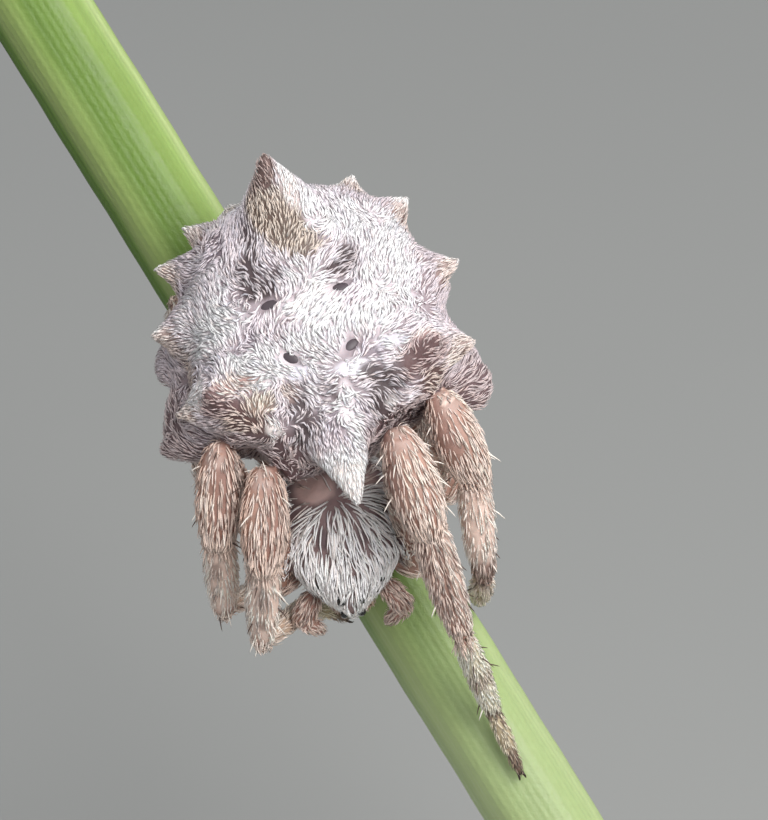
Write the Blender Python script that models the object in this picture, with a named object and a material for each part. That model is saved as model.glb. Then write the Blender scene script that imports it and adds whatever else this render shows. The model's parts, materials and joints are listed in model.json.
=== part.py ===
"""Gray star-bellied orbweaver at life size, a still model hunched on a short cut length of stem.

The spider is shaped in millimetres in a specimen frame: X across the stem, Y up along the lean, and Z
out of the stem, which is where its back faces. An empty tips that frame back and lifts it to its height.
The display stand is shaped in millimetres in the world's own frame, +Z up, centred on its base.
"""

import math
from collections import namedtuple

import bmesh
import bpy
from mathutils import Matrix, Vector

MM = 0.001

# The animal's own sides, along the X of its body frames
SIDES = {"left": -1.0, "right": 1.0}

# Gaps between neighbouring nodes, in mm: small, because the whole animal is 10 mm long
GAP = 0.1
EYE_GAP = 0.03

# Edges shorter than these, in mm, are closed up after a cut or a union: the longest that leaves it whole
SLIVERS = (0.02, 0.01, 0.005, 0.002, 0.001)

# The perch: a straight stem that leans in the specimen frame's XY plane
STEM_RADIUS = 1.2
STEM_BEARING = math.radians(31.9)
STEM_MIDDLE = Vector((-0.05, -1.36, 0.0))
STEM_UP = 17.5
STEM_DOWN = 12.6
STEM_SIDES = 24
STEM_RIBS = 6
STEM_GROOVE = 0.06

# The specimen frame in the world
SPECIMEN_LEAN = math.radians(65.0)
SPECIMEN_PLACE = Vector((1.35, -0.2, 17.2))

# The stand
BASE_SIZE = Vector((20.0, 15.0, 1.6))
BASE_ROUNDING = 0.35
ROD_RADIUS = 0.6
ROD_SIDES = 20
UPPER_ROD_ALONG = -16.4
LOWER_ROD_ALONG = 11.6

# The abdomen's shield, in its own frame: X to the animal's right, Y forward, Z up out of its back
ABDOMEN_CENTRE = Vector((-0.14, 1.55, 3.9))
ABDOMEN_YAW = math.radians(14.0)
ABDOMEN_PITCH = math.radians(25.0)
ABDOMEN_HALF_WIDTH = 3.0
ABDOMEN_HALF_LENGTH = 3.45
ABDOMEN_BACK_RISE = 2.2
ABDOMEN_BELLY_DROP = 1.95
ABDOMEN_SQUARENESS = 2.35
ABDOMEN_TAPER = 0.08

# Above this height of its unit ball the abdomen has finer triangles, for its tubercles
FINE_ABOVE = -0.45

# Each lump is a foot on the shield, the point it is drawn out to, its foot radius and its sharpness
Lump = namedtuple("Lump", "foot tip radius sharpness")
PAIRED_LUMPS = {
    "shoulder": Lump((2.25, 1.65, 1.35), (2.55, 1.84, 1.64), 1.40, 1.2),
    "knee hollow": Lump((1.45, 2.95, -0.30), (1.35, 2.45, -0.20), 1.40, 1.0),
    "inner shoulder bump": Lump((2.60, 1.75, 1.65), (2.75, 1.85, 2.02), 0.60, 1.2),
    "outer shoulder cone": Lump((3.00, 1.62, 0.88), (3.48, 1.66, 0.92), 0.80, 1.6),
    "second cone": Lump((2.95, -0.48, 0.58), (3.61, -0.50, 0.78), 0.90, 1.6),
    "swell under the second cone": Lump((2.85, -0.70, -0.60), (3.35, -0.75, -0.75), 0.80, 1.3),
    "swell under the third cone": Lump((2.30, -2.20, -0.60), (2.65, -2.35, -0.75), 0.70, 1.3),
    "front ridge bump": Lump((1.35, 2.60, 1.05), (1.42, 2.75, 1.32), 0.50, 1.1),
}
SINGLE_LUMPS = {
    "right flank": Lump((2.95, -0.10, -0.65), (3.74, -0.10, -0.88), 1.10, 0.9),
    "right front lobe": Lump((2.90, 1.30, -0.60), (4.16, 1.60, -1.15), 1.15, 0.8),
    "left flank": Lump((-3.00, 1.30, -0.55), (-3.60, 1.55, -0.85), 1.00, 0.9),
    "right front skirt": Lump((1.20, 3.05, 0.10), (1.35, 3.50, -0.10), 0.90, 0.9),
    "left front lobe": Lump((-2.90, 1.75, -0.65), (-3.38, 2.35, -1.20), 1.15, 0.8),
    "right third cone": Lump((2.56, -2.08, 0.44), (3.22, -2.25, 0.62), 0.80, 1.6),
    "left third cone": Lump((-2.30, -2.14, 0.44), (-2.82, -2.38, 0.65), 0.78, 1.6),
    "right fourth cone": Lump((1.82, -2.80, 0.20), (2.35, -3.22, 0.33), 0.72, 1.6),
    "left fourth cone": Lump((-1.42, -2.95, 0.24), (-1.74, -3.42, 0.42), 0.68, 1.6),
    "right rear cone": Lump((1.02, -3.08, 0.30), (1.24, -3.42, 0.42), 0.60, 1.4),
    "left rear cone": Lump((-0.70, -3.12, 0.30), (-0.84, -3.34, 0.40), 0.50, 1.4),
    "peak swell": Lump((0.00, -1.90, 1.80), (0.05, -2.40, 2.45), 1.60, 1.1),
    "posterior peak": Lump((0.05, -2.45, 2.38), (0.12, -3.05, 3.23), 1.10, 1.10),
    "front swell": Lump((0.00, 2.60, 1.25), (0.00, 3.30, 1.30), 1.20, 1.2),
    "anterior tubercle": Lump((0.00, 3.35, 1.20), (-0.06, 4.84, 0.92), 0.90, 1.3),
    "low rear tubercle": Lump((0.00, -3.30, -0.40), (0.00, -3.85, -0.45), 0.70, 1.3),
}

# The prosoma, in its own frame: X to the animal's right, Y forward, Z up
PROSOMA_CENTRE = Vector((0.50, -3.05, 2.95))
PROSOMA_YAW = math.radians(8.0)
PROSOMA_PITCH = math.radians(3.0)
PROSOMA_HALF_WIDTH = 1.45
PROSOMA_HALF_LENGTH = 1.95
PROSOMA_RISE = 0.90
PROSOMA_DROP = 0.75
PROSOMA_SQUARENESS = 2.35
HEAD_NARROWING = 0.60
HEAD_FROM = 0.4
HEAD_TO = 1.9
FOVEA_PLACE = Vector((0.0, -0.85, 0.82))
FOVEA_DEPTH = 0.16
FOVEA_RADIUS = 0.55

# Eyes: bearing from straight ahead, elevation, radius
Eye = namedtuple("Eye", "name bearing elevation radius")
EYES = (
    Eye("anterior_median", 20.0, 10.0, 0.10),
    Eye("posterior_median", 23.0, 34.0, 0.11),
    Eye("anterior_lateral", 47.0, 10.0, 0.08),
    Eye("posterior_lateral", 52.0, 26.0, 0.08),
)
EYE_SUNK = 0.35

# Chelicerae, fangs and palps, in the prosoma's frame, for the right side
CHELICERA_TOP = Vector((0.31, 1.38, -0.35))
CHELICERA_TIP = Vector((0.31, 1.62, -1.15))
CHELICERA_RADIUS = 0.26
CHELICERA_END_RADIUS = 0.22
FANG_TIP = Vector((0.16, 1.50, -1.55))
FANG_RADIUS = 0.13
FANG_TIP_RADIUS = 0.08
PALP_JOINTS = ((0.80, 1.20, -0.50), (1.04, 1.58, -0.46), (1.18, 1.80, -0.58), (0.80, 2.06, -0.96))
PALP_RADII = (0.24, 0.30, 0.27, 0.19)

# The pedicel, from a place in the prosoma's frame to one in the abdomen's
PEDICEL_RADIUS = 0.30
PEDICEL_FROM = Vector((0.0, -1.60, 0.05))
PEDICEL_TO = Vector((0.0, 1.75, -1.20))

# Spinnerets: a ring of cones on one mound, under the rear of the abdomen
SPINNERET_PLACE = Vector((0.0, -1.90, -1.60))
SPINNERET_MOUND_RADIUS = 0.34
SPINNERET_COUNT = 4
SPINNERET_RING = 0.24
SPINNERET_LENGTH = 0.62
SPINNERET_SPLAY = 0.12
SPINNERET_REARWARD = 0.25
SPINNERET_RADIUS = 0.22
SPINNERET_TIP_RADIUS = 0.11

# Legs. The roots stand in a ring round the prosoma. The knee and the far ends of patella and tibia are
# places in the specimen frame. The heel, where metatarsus meets tarsus, and the tip are set on the stem:
# so far along it, so many degrees round it, and for the heel so far clear of it.
ROOT_RING_HALF_WIDTH = 0.95
ROOT_RING_HALF_LENGTH = 1.35
ROOT_RING_DROP = 0.50
ROOT_REACH = 0.80
ROOT_BEARINGS = (64.0, 88.0, 112.0, 138.0)
Leg = namedtuple("Leg", "side row girth knee shin ankle heel tip")
LEGS = (
    Leg(
        "left", 1, 1.06,
        (1.82, -0.98, 5.65), (2.40, -2.72, 5.45), (3.20, -5.25, 3.90),
        (7.10, 11, 0.58), (8.60, 5),
    ),
    Leg(
        "left", 2, 0.98,
        (2.78, -0.12, 5.25), (3.44, -1.58, 4.70), (3.74, -4.00, 3.15),
        (4.70, 56, 0.54), (4.60, 98),
    ),
    Leg(
        "left", 3, 0.74,
        (2.90, -2.10, 2.15), (3.25, -1.15, 2.10), (2.60, -0.15, 1.60),
        (0.05, 60, 0.75), (-0.60, 80),
    ),
    Leg(
        "left", 4, 0.82,
        (2.90, 0.00, 2.55), (3.05, 0.95, 2.15), (2.00, 1.90, 1.35),
        (-2.25, 62, 0.80), (-2.80, 80),
    ),
    Leg(
        "right", 1, 0.98,
        (-1.22, -1.84, 5.45), (-1.25, -3.55, 5.30), (-1.32, -5.50, 3.25),
        (2.70, -62, 1.10), (3.50, -84),
    ),
    Leg(
        "right", 2, 0.95,
        (-2.24, -1.28, 5.15), (-2.28, -3.00, 4.70), (-2.19, -4.80, 2.80),
        (1.80, -56, 1.05), (2.00, -84),
    ),
    Leg(
        "right", 3, 0.74,
        (-2.15, -2.30, 2.55), (-2.65, -1.40, 2.05), (-2.80, -0.25, 1.40),
        (-1.45, -62, 0.45), (-1.20, -100),
    ),
    Leg(
        "right", 4, 0.82,
        (-2.35, 0.05, 1.80), (-3.00, 0.90, 1.72), (-3.30, 2.20, 1.32),
        (-4.10, -60, 0.46), (-3.40, -100),
    ),
)

# No joint is slimmer than this, so that slim legs stay 0.5 mm thick
THINNEST_JOINT = 0.25
SEGMENT_RADII = {
    "coxa": (0.22, 0.35),
    "femur": (0.36, 0.50),
    "patella": (0.57, 0.58),
    "tibia": (0.48, 0.38),
    "metatarsus": (0.32, 0.27),
    "tarsus": (0.25, 0.14),
}
SEGMENT_SIDES = 10
SEGMENT_RINGS = 6
SEGMENT_FULLNESS = 0.55
SEGMENT_DOME = 0.75

COLOURS = {
    "abdomen": ((0.60, 0.56, 0.57), 0.85),
    "prosoma": ((0.35, 0.30, 0.29), 0.85),
    "pedicel": ((0.22, 0.17, 0.16), 0.80),
    "spinnerets": ((0.25, 0.18, 0.15), 0.80),
    "chelicera": ((0.20, 0.12, 0.09), 0.45),
    "palp": ((0.45, 0.31, 0.24), 0.80),
    "leg": ((0.48, 0.33, 0.25), 0.85),
    "eye": ((0.01, 0.01, 0.01), 0.10),
    "perch": ((0.16, 0.42, 0.06), 0.55),
    "stand": ((0.72, 0.71, 0.69), 0.45),
}


def smoothstep(low, high, value):
    """0 below low, 1 above high, and smooth between them."""
    t = min(max((value - low) / (high - low), 0.0), 1.0)
    return t * t * (3.0 - 2.0 * t)


def body_frame(centre, yaw, pitch):
    """A body's own frame: it faces down the stem, turned by yaw, its front raised by pitch."""
    facing = Matrix.Rotation(math.pi + yaw, 4, "Z") @ Matrix.Rotation(pitch, 4, "X")
    return Matrix.Translation(centre) @ facing


ABDOMEN_FRAME = body_frame(ABDOMEN_CENTRE, ABDOMEN_YAW, ABDOMEN_PITCH)
PROSOMA_FRAME = body_frame(PROSOMA_CENTRE, PROSOMA_YAW, PROSOMA_PITCH)
STEM_AXIS = Vector((math.sin(STEM_BEARING), -math.cos(STEM_BEARING), 0.0))
STEM_ACROSS = Vector((math.cos(STEM_BEARING), math.sin(STEM_BEARING), 0.0))
SPECIMEN = Matrix.Translation(SPECIMEN_PLACE) @ Matrix.Rotation(SPECIMEN_LEAN, 4, "X")


def on_stem(along, round_degrees, clear):
    """A place over the stem: so far along it, so far round from its top, so far clear of its skin."""
    angle = math.radians(round_degrees)
    outward = STEM_ACROSS * math.sin(angle) + Vector((0.0, 0.0, math.cos(angle)))
    return STEM_MIDDLE + STEM_AXIS * along + outward * (STEM_RADIUS + clear)


def unit_ball(subdivisions):
    """A ball of radius 1 of even triangles."""
    bm = bmesh.new()
    bmesh.ops.create_icosphere(bm, subdivisions=subdivisions, radius=1.0)
    return bm


def ball(centre, radius, subdivisions=2):
    """A ball of even triangles at a place."""
    bm = unit_ball(subdivisions)
    bm.transform(Matrix.Translation(centre) @ Matrix.Scale(radius, 4))
    return bm


def segment(start, end, start_radius, end_radius):
    """A limb segment: a full-ended spindle whose domes are centred near its two joints."""
    bm = bmesh.new()
    bmesh.ops.create_uvsphere(bm, u_segments=SEGMENT_SIDES, v_segments=SEGMENT_RINGS, radius=1.0)
    axis = end - start
    length = axis.length
    turn = axis.to_track_quat("Z", "Y").to_matrix().to_4x4()
    for vert in bm.verts:
        height = vert.co.z
        ring = math.hypot(vert.co.x, vert.co.y)
        share = (height + 1.0) / 2.0
        radius = start_radius + (end_radius - start_radius) * share
        widen = radius * ring ** (SEGMENT_FULLNESS - 1.0) if ring > 1e-6 else 0.0
        dome = SEGMENT_DOME * (start_radius if height < 0.0 else end_radius)
        vert.co.x *= widen
        vert.co.y *= widen
        vert.co.z = length * share + dome * height**3
    bm.transform(Matrix.Translation(start) @ turn)
    return bm


def rod(start, end, radius, sides):
    """A straight round bar with flat ends."""
    bm = bmesh.new()
    axis = end - start
    bmesh.ops.create_cone(
        bm, cap_ends=True, segments=sides, radius1=radius, radius2=radius, depth=axis.length
    )
    turn = axis.to_track_quat("Z", "Y").to_matrix().to_4x4()
    bm.transform(Matrix.Translation((start + end) / 2.0) @ turn)
    return bm


def scratch_object(bm, collection):
    """An unnamed helper object that holds bm's mesh, which is freed."""
    mesh = bpy.data.meshes.new("scratch")
    bmesh.ops.triangulate(bm, faces=bm.faces[:])
    bmesh.ops.recalc_face_normals(bm, faces=bm.faces[:])
    bm.to_mesh(mesh)
    bm.free()
    thing = bpy.data.objects.new("scratch", mesh)
    collection.objects.link(thing)
    return thing


def largest_piece(bm):
    """Deletes all but the largest closed surface of bm."""
    seen = set()
    islands = []
    for first in bm.verts:
        if first in seen:
            continue
        seen.add(first)
        island = [first]
        for vert in island:
            for edge in vert.link_edges:
                other = edge.other_vert(vert)
                if other not in seen:
                    seen.add(other)
                    island.append(other)
        islands.append(island)
    islands.sort(key=len)
    for island in islands[:-1]:
        bmesh.ops.delete(bm, geom=island, context="VERTS")
    return bm


def without_slivers(bm):
    """A copy of bm with its shortest edges closed up, or bm itself where that would open its surface."""
    bmesh.ops.triangulate(bm, faces=bm.faces[:])
    for sliver in SLIVERS:
        neat = bm.copy()
        bmesh.ops.dissolve_degenerate(neat, dist=sliver, edges=neat.edges[:])
        bmesh.ops.triangulate(neat, faces=neat.faces[:])
        if all(edge.is_manifold for edge in neat.edges):
            return neat
    return bm


def combine(pieces, operation):
    """The first piece joined with the others, or with the others cut away from it."""
    shop = bpy.data.collections.new("shop")
    tools = bpy.data.collections.new("tools")
    bpy.context.scene.collection.children.link(shop)
    bpy.context.scene.collection.children.link(tools)
    body = scratch_object(pieces[0], shop)
    for piece in pieces[1:]:
        tool = scratch_object(piece, tools)
        tool.hide_render = True
        tool.display_type = "WIRE"
    boolean = body.modifiers.new("combine", "BOOLEAN")
    boolean.operation = operation
    boolean.operand_type = "COLLECTION"
    boolean.collection = tools
    boolean.solver = "EXACT"
    evaluated = body.evaluated_get(bpy.context.evaluated_depsgraph_get())
    bm = bmesh.new()
    bm.from_mesh(evaluated.to_mesh())
    for group in (shop, tools):
        for thing in list(group.objects):
            mesh = thing.data
            bpy.data.objects.remove(thing)
            bpy.data.meshes.remove(mesh)
        bpy.data.collections.remove(group)
    return largest_piece(without_slivers(bm))


def joined(pieces):
    return combine(pieces, "UNION")


def cut_clear(body, cutters):
    return combine([body, *cutters], "DIFFERENCE")


def material(kind):
    """The kind's plain material, made once."""
    name = f"{kind}_finish"
    found = bpy.data.materials.get(name)
    if found:
        return found
    colour, roughness = COLOURS[kind]
    made = bpy.data.materials.new(name)
    made.use_nodes = True
    shader = made.node_tree.nodes["Principled BSDF"]
    shader.inputs["Base Color"].default_value = (*colour, 1.0)
    shader.inputs["Roughness"].default_value = roughness
    shader.inputs["Metallic"].default_value = 0.0
    return made


def add_node(name, kind, bm, parent=None):
    """Adds one named sub-part, turned from millimetres into metres, to the model's collection."""
    bmesh.ops.scale(bm, vec=(MM, MM, MM), verts=bm.verts[:])
    bmesh.ops.triangulate(bm, faces=bm.faces[:])
    bmesh.ops.recalc_face_normals(bm, faces=bm.faces[:])
    mesh = bpy.data.meshes.new(name)
    bm.to_mesh(mesh)
    bm.free()
    mesh.shade_smooth()
    mesh.materials.append(material(kind))
    thing = bpy.data.objects.new(name, mesh)
    bpy.data.collections["star_bellied_orbweaver"].objects.link(thing)
    thing.parent = parent
    return thing


def squared(direction, squareness):
    """How far a squared-off ball reaches in a direction."""
    total = sum(abs(part) ** squareness for part in direction)
    return total ** (-1.0 / squareness)


def draw_out(bm, lump, side=1.0):
    """Draws the surface near a lump's foot out to its tip."""
    foot = Vector((lump.foot[0] * side, *lump.foot[1:]))
    tip = Vector((lump.tip[0] * side, *lump.tip[1:]))
    peak = min(bm.verts, key=lambda vert: (vert.co - foot).length)
    middle = peak.co.copy()
    lift = tip - middle
    for vert in bm.verts:
        share = (vert.co - middle).length / lump.radius
        if share < 1.0:
            vert.co += lift * (1.0 - share) ** lump.sharpness


def abdomen_form(grow=0.0):
    """The shield-shaped abdomen with its crown of tubercles, in the specimen frame, grown by grow."""
    bm = unit_ball(4)
    back = [edge for edge in bm.edges if all(vert.co.z > FINE_ABOVE for vert in edge.verts)]
    bmesh.ops.subdivide_edges(bm, edges=back, cuts=1, use_grid_fill=True)
    bmesh.ops.triangulate(bm, faces=bm.faces[:])
    for vert in bm.verts:
        vert.co.normalize()
        reach = squared(vert.co, ABDOMEN_SQUARENESS)
        depth = ABDOMEN_BACK_RISE if vert.co.z > 0.0 else ABDOMEN_BELLY_DROP
        forward = vert.co.y * reach
        width = ABDOMEN_HALF_WIDTH * (1.0 + ABDOMEN_TAPER * forward)
        vert.co.x *= reach * width
        vert.co.y *= reach * ABDOMEN_HALF_LENGTH
        vert.co.z *= reach * depth
    for lump in PAIRED_LUMPS.values():
        for side in (1.0, -1.0):
            draw_out(bm, lump, side)
    for lump in SINGLE_LUMPS.values():
        draw_out(bm, lump)
    bm.normal_update()
    places = [vert.co + vert.normal * grow for vert in bm.verts]
    for vert, place in zip(bm.verts, places):
        vert.co = place
    bm.transform(ABDOMEN_FRAME)
    return bm


def prosoma_point(direction, grow=0.0):
    """Where the prosoma's surface lies in a direction, in its own frame."""
    reach = squared(direction, PROSOMA_SQUARENESS)
    forward = direction.y * reach * (PROSOMA_HALF_LENGTH + grow)
    width = (PROSOMA_HALF_WIDTH + grow) * (1.0 - HEAD_NARROWING * smoothstep(HEAD_FROM, HEAD_TO, forward))
    depth = (PROSOMA_RISE if direction.z > 0.0 else PROSOMA_DROP) + grow
    return Vector((direction.x * reach * width, forward, direction.z * reach * depth))


def prosoma_form(grow=0.0):
    """The carapace and sternum as one form, in the specimen frame, grown on all sides by grow."""
    bm = unit_ball(4)
    for vert in bm.verts:
        vert.co = prosoma_point(vert.co.copy(), grow)
        near = 1.0 - (vert.co - FOVEA_PLACE).length / FOVEA_RADIUS
        if near > 0.0 and grow == 0.0:
            vert.co.z -= FOVEA_DEPTH * near
    bm.transform(PROSOMA_FRAME)
    return bm


def eye_place(eye, side):
    """An eye's centre in the specimen frame, sunk a little in the head."""
    bearing = math.radians(eye.bearing)
    elevation = math.radians(eye.elevation)
    direction = Vector(
        (
            side * math.sin(bearing) * math.cos(elevation),
            math.cos(bearing) * math.cos(elevation),
            math.sin(elevation),
        )
    )
    surface = prosoma_point(direction)
    return PROSOMA_FRAME @ (surface - surface.normalized() * eye.radius * EYE_SUNK)


def build_prosoma(parent):
    sockets = []
    for eye in EYES:
        for side_name, side in SIDES.items():
            place = eye_place(eye, side)
            sockets.append(ball(place, eye.radius + EYE_GAP))
            add_node(f"eye_{eye.name}_{side_name}", "eye", ball(place, eye.radius), parent)
    add_node("prosoma", "prosoma", cut_clear(prosoma_form(), sockets), parent)


def build_mouthparts(parent):
    for side_name, side in SIDES.items():
        mirror = Matrix.Diagonal((side, 1.0, 1.0, 1.0))
        top, tip, fang = (
            PROSOMA_FRAME @ mirror @ place for place in (CHELICERA_TOP, CHELICERA_TIP, FANG_TIP)
        )
        jaw = joined(
            [
                segment(top, tip, CHELICERA_RADIUS, CHELICERA_END_RADIUS),
                segment(tip, fang, FANG_RADIUS, FANG_TIP_RADIUS),
            ]
        )
        add_node(f"chelicera_{side_name}", "chelicera", cut_clear(jaw, [prosoma_form(GAP)]), parent)
        joints = [PROSOMA_FRAME @ mirror @ Vector(place) for place in PALP_JOINTS]
        pieces = []
        for i in range(len(joints) - 1):
            pieces.append(segment(joints[i], joints[i + 1], PALP_RADII[i], PALP_RADII[i + 1]))
        add_node(f"palp_{side_name}", "palp", cut_clear(joined(pieces), [prosoma_form(GAP)]), parent)


def leg_joints(leg, side):
    """The seven joints of a leg, from the prosoma out to the tip on the stem."""
    bearing = math.radians(ROOT_BEARINGS[leg.row - 1])
    outward = Vector((side * math.sin(bearing), math.cos(bearing), 0.0))
    root = Vector((outward.x * ROOT_RING_HALF_WIDTH, outward.y * ROOT_RING_HALF_LENGTH, -ROOT_RING_DROP))
    hip = root + outward * ROOT_REACH
    tip = on_stem(*leg.tip, SEGMENT_RADII["tarsus"][1] * leg.girth + GAP)
    places = [Vector(place) for place in (leg.knee, leg.shin, leg.ankle)]
    return [PROSOMA_FRAME @ root, PROSOMA_FRAME @ hip, *places, on_stem(*leg.heel), tip]


def build_leg(leg, parent):
    joints = leg_joints(leg, SIDES[leg.side])
    pieces = []
    for i, (name, (start_radius, end_radius)) in enumerate(SEGMENT_RADII.items()):
        start_radius = max(start_radius * leg.girth, THINNEST_JOINT) if i else start_radius * leg.girth
        end_radius *= leg.girth
        if name != "tarsus":
            end_radius = max(end_radius, THINNEST_JOINT)
        pieces.append(segment(joints[i], joints[i + 1], start_radius, end_radius))
    leg_body = cut_clear(cut_clear(joined(pieces), [prosoma_form(GAP)]), [abdomen_form(GAP)])
    add_node(f"leg_{leg.side}_{leg.row}", "leg", leg_body, parent)


def build_pedicel(parent):
    start = PROSOMA_FRAME @ PEDICEL_FROM
    end = ABDOMEN_FRAME @ PEDICEL_TO
    waist = segment(start, end, PEDICEL_RADIUS, PEDICEL_RADIUS)
    waist = cut_clear(waist, [abdomen_form(GAP)])
    waist = cut_clear(waist, [prosoma_form(GAP)])
    add_node("pedicel", "pedicel", waist, parent)


def build_spinnerets(parent):
    pieces = [ball(SPINNERET_PLACE, SPINNERET_MOUND_RADIUS, 3)]
    for i in range(SPINNERET_COUNT):
        angle = math.tau * (i + 0.5) / SPINNERET_COUNT
        outward = Vector((math.cos(angle), math.sin(angle), 0.0))
        start = SPINNERET_PLACE + outward * SPINNERET_RING
        end = start + outward * SPINNERET_SPLAY - Vector((0.0, SPINNERET_REARWARD, SPINNERET_LENGTH))
        pieces.append(segment(start, end, SPINNERET_RADIUS, SPINNERET_TIP_RADIUS))
    body = joined(pieces)
    body.transform(ABDOMEN_FRAME)
    add_node("spinnerets", "spinnerets", cut_clear(body, [abdomen_form(GAP)]), parent)


def stem_form(grow=0.0):
    """The stem with its shallow lengthwise ribs, in the specimen frame."""
    top = STEM_MIDDLE - STEM_AXIS * (STEM_UP + grow)
    foot = STEM_MIDDLE + STEM_AXIS * (STEM_DOWN + grow)
    bm = rod(Vector(), Vector((0.0, 0.0, (foot - top).length)), 1.0, STEM_SIDES)
    for vert in bm.verts:
        angle = math.atan2(vert.co.y, vert.co.x)
        radius = STEM_RADIUS + grow - STEM_GROOVE * (1.0 - math.cos(STEM_RIBS * angle)) / 2.0
        vert.co.x *= radius
        vert.co.y *= radius
    turn = STEM_AXIS.to_track_quat("Z", "Y").to_matrix().to_4x4()
    bm.transform(Matrix.Translation(top) @ turn)
    return bm


def build_perch(parent):
    add_node("perch_stem", "perch", stem_form(), parent)


def build_stand():
    base = bmesh.new()
    bmesh.ops.create_cube(base, size=1.0)
    bmesh.ops.scale(base, vec=BASE_SIZE, verts=base.verts[:])
    bmesh.ops.translate(base, vec=(0.0, 0.0, BASE_SIZE.z / 2.0), verts=base.verts[:])
    top_edges = [edge for edge in base.edges if all(vert.co.z > 0.0 for vert in edge.verts)]
    bmesh.ops.bevel(base, geom=top_edges, offset=BASE_ROUNDING, segments=2, affect="EDGES")
    add_node("stand_base", "stand", base)
    for name, along in (("upper", UPPER_ROD_ALONG), ("lower", LOWER_ROD_ALONG)):
        meet = SPECIMEN @ (STEM_MIDDLE + STEM_AXIS * along)
        foot = Vector((meet.x, meet.y, BASE_SIZE.z + GAP))
        bar = rod(foot, meet, ROD_RADIUS, ROD_SIDES)
        stem = stem_form(GAP)
        stem.transform(SPECIMEN)
        add_node(f"stand_rod_{name}", "stand", cut_clear(bar, [stem]))


def main():
    for thing in list(bpy.data.objects):
        bpy.data.objects.remove(thing)
    model = bpy.data.collections.new("star_bellied_orbweaver")
    bpy.context.scene.collection.children.link(model)
    specimen = bpy.data.objects.new("specimen", None)
    specimen.location = SPECIMEN_PLACE * MM
    specimen.rotation_euler = (SPECIMEN_LEAN, 0.0, 0.0)
    model.objects.link(specimen)
    add_node("abdomen", "abdomen", abdomen_form(), specimen)
    build_prosoma(specimen)
    build_mouthparts(specimen)
    build_pedicel(specimen)
    build_spinnerets(specimen)
    for leg in LEGS:
        build_leg(leg, specimen)
    build_perch(specimen)
    build_stand()


main()
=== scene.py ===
"""The look of a gray star-bellied orbweaver at life size, gripping a cut length of stem on a display stand.

Fine forms of the body and limbs are merged into one skin, which is tinted by zones and covered with hairs.
All shapes are made in millimetres in the specimen frame of the model's solids: X across the stem, Y up
along the lean and Z out of the stem, where the animal's back faces. WORLD turns that frame into metres.
The stand is made in millimetres in the world's own frame.
"""

import json
import math
from collections import namedtuple

import bmesh
import bpy
import numpy as np
from mathutils import Matrix, Vector
from mathutils.bvhtree import BVHTree
from mathutils.kdtree import KDTree

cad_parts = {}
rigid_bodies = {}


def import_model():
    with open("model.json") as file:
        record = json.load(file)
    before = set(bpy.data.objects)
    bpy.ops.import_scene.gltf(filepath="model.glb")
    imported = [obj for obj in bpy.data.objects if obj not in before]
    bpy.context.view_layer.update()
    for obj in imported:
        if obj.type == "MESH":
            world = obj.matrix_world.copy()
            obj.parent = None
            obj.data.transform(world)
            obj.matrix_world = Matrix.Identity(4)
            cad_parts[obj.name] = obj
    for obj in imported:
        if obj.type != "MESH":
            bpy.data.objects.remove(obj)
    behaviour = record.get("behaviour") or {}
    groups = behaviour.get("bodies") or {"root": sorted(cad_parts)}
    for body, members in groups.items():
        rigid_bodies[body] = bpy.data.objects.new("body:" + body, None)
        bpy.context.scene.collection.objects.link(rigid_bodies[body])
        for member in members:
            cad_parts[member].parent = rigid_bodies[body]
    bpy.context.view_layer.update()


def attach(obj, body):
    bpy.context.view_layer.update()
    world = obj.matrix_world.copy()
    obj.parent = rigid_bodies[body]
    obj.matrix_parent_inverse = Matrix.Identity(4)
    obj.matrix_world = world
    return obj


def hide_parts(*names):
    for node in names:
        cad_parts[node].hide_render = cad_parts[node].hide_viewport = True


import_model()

MM = 0.001
SEED = 11
DRAW = np.random.default_rng(SEED)
BODY = "root"

# The solids' named sizes, in mm
SIDES = {"left": -1.0, "right": 1.0}
STEM_RADIUS = 1.2
STEM_BEARING = math.radians(31.9)
STEM_MIDDLE = Vector((-0.05, -1.36, 0.0))
STEM_UP = 17.5
STEM_DOWN = 12.6
STEM_RIBS = 6
STEM_GROOVE = 0.06
SPECIMEN_LEAN = math.radians(65.0)
SPECIMEN_PLACE = Vector((1.35, -0.2, 17.2))
BASE_SIZE = Vector((20.0, 15.0, 1.6))
BASE_ROUNDING = 0.35
ROD_RADIUS = 0.6
ROD_GAP = 0.1
UPPER_ROD_ALONG = -16.4
LOWER_ROD_ALONG = 11.6
ABDOMEN_CENTRE = Vector((-0.14, 1.55, 3.9))
ABDOMEN_YAW = math.radians(14.0)
ABDOMEN_PITCH = math.radians(25.0)
ABDOMEN_HALF_WIDTH = 3.0
ABDOMEN_HALF_LENGTH = 3.45
ABDOMEN_BACK_RISE = 2.2
ABDOMEN_BELLY_DROP = 1.95
SQUARENESS = 2.35
ABDOMEN_TAPER = 0.08
PROSOMA_CENTRE = Vector((0.50, -3.05, 2.95))
PROSOMA_YAW = math.radians(8.0)
PROSOMA_PITCH = math.radians(3.0)
PROSOMA_HALF_WIDTH = 1.45
PROSOMA_HALF_LENGTH = 1.95
PROSOMA_RISE = 0.90
PROSOMA_DROP = 0.75
HEAD_NARROWING = 0.60
HEAD_FROM = 0.4
HEAD_TO = 1.9
FOVEA_PLACE = (0.0, -0.85, 0.82)
FOVEA_DEPTH = 0.16
FOVEA_RADIUS = 0.55

# The groove between head and thorax: a V whose middle lies so far forward, cut where the back is so high
GROOVE_FORWARD = 0.75
GROOVE_SLANT = 0.55
GROOVE_WIDTH = 0.14
GROOVE_DEPTH = 0.05
GROOVE_LEAST_HEIGHT = 0.2

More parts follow.
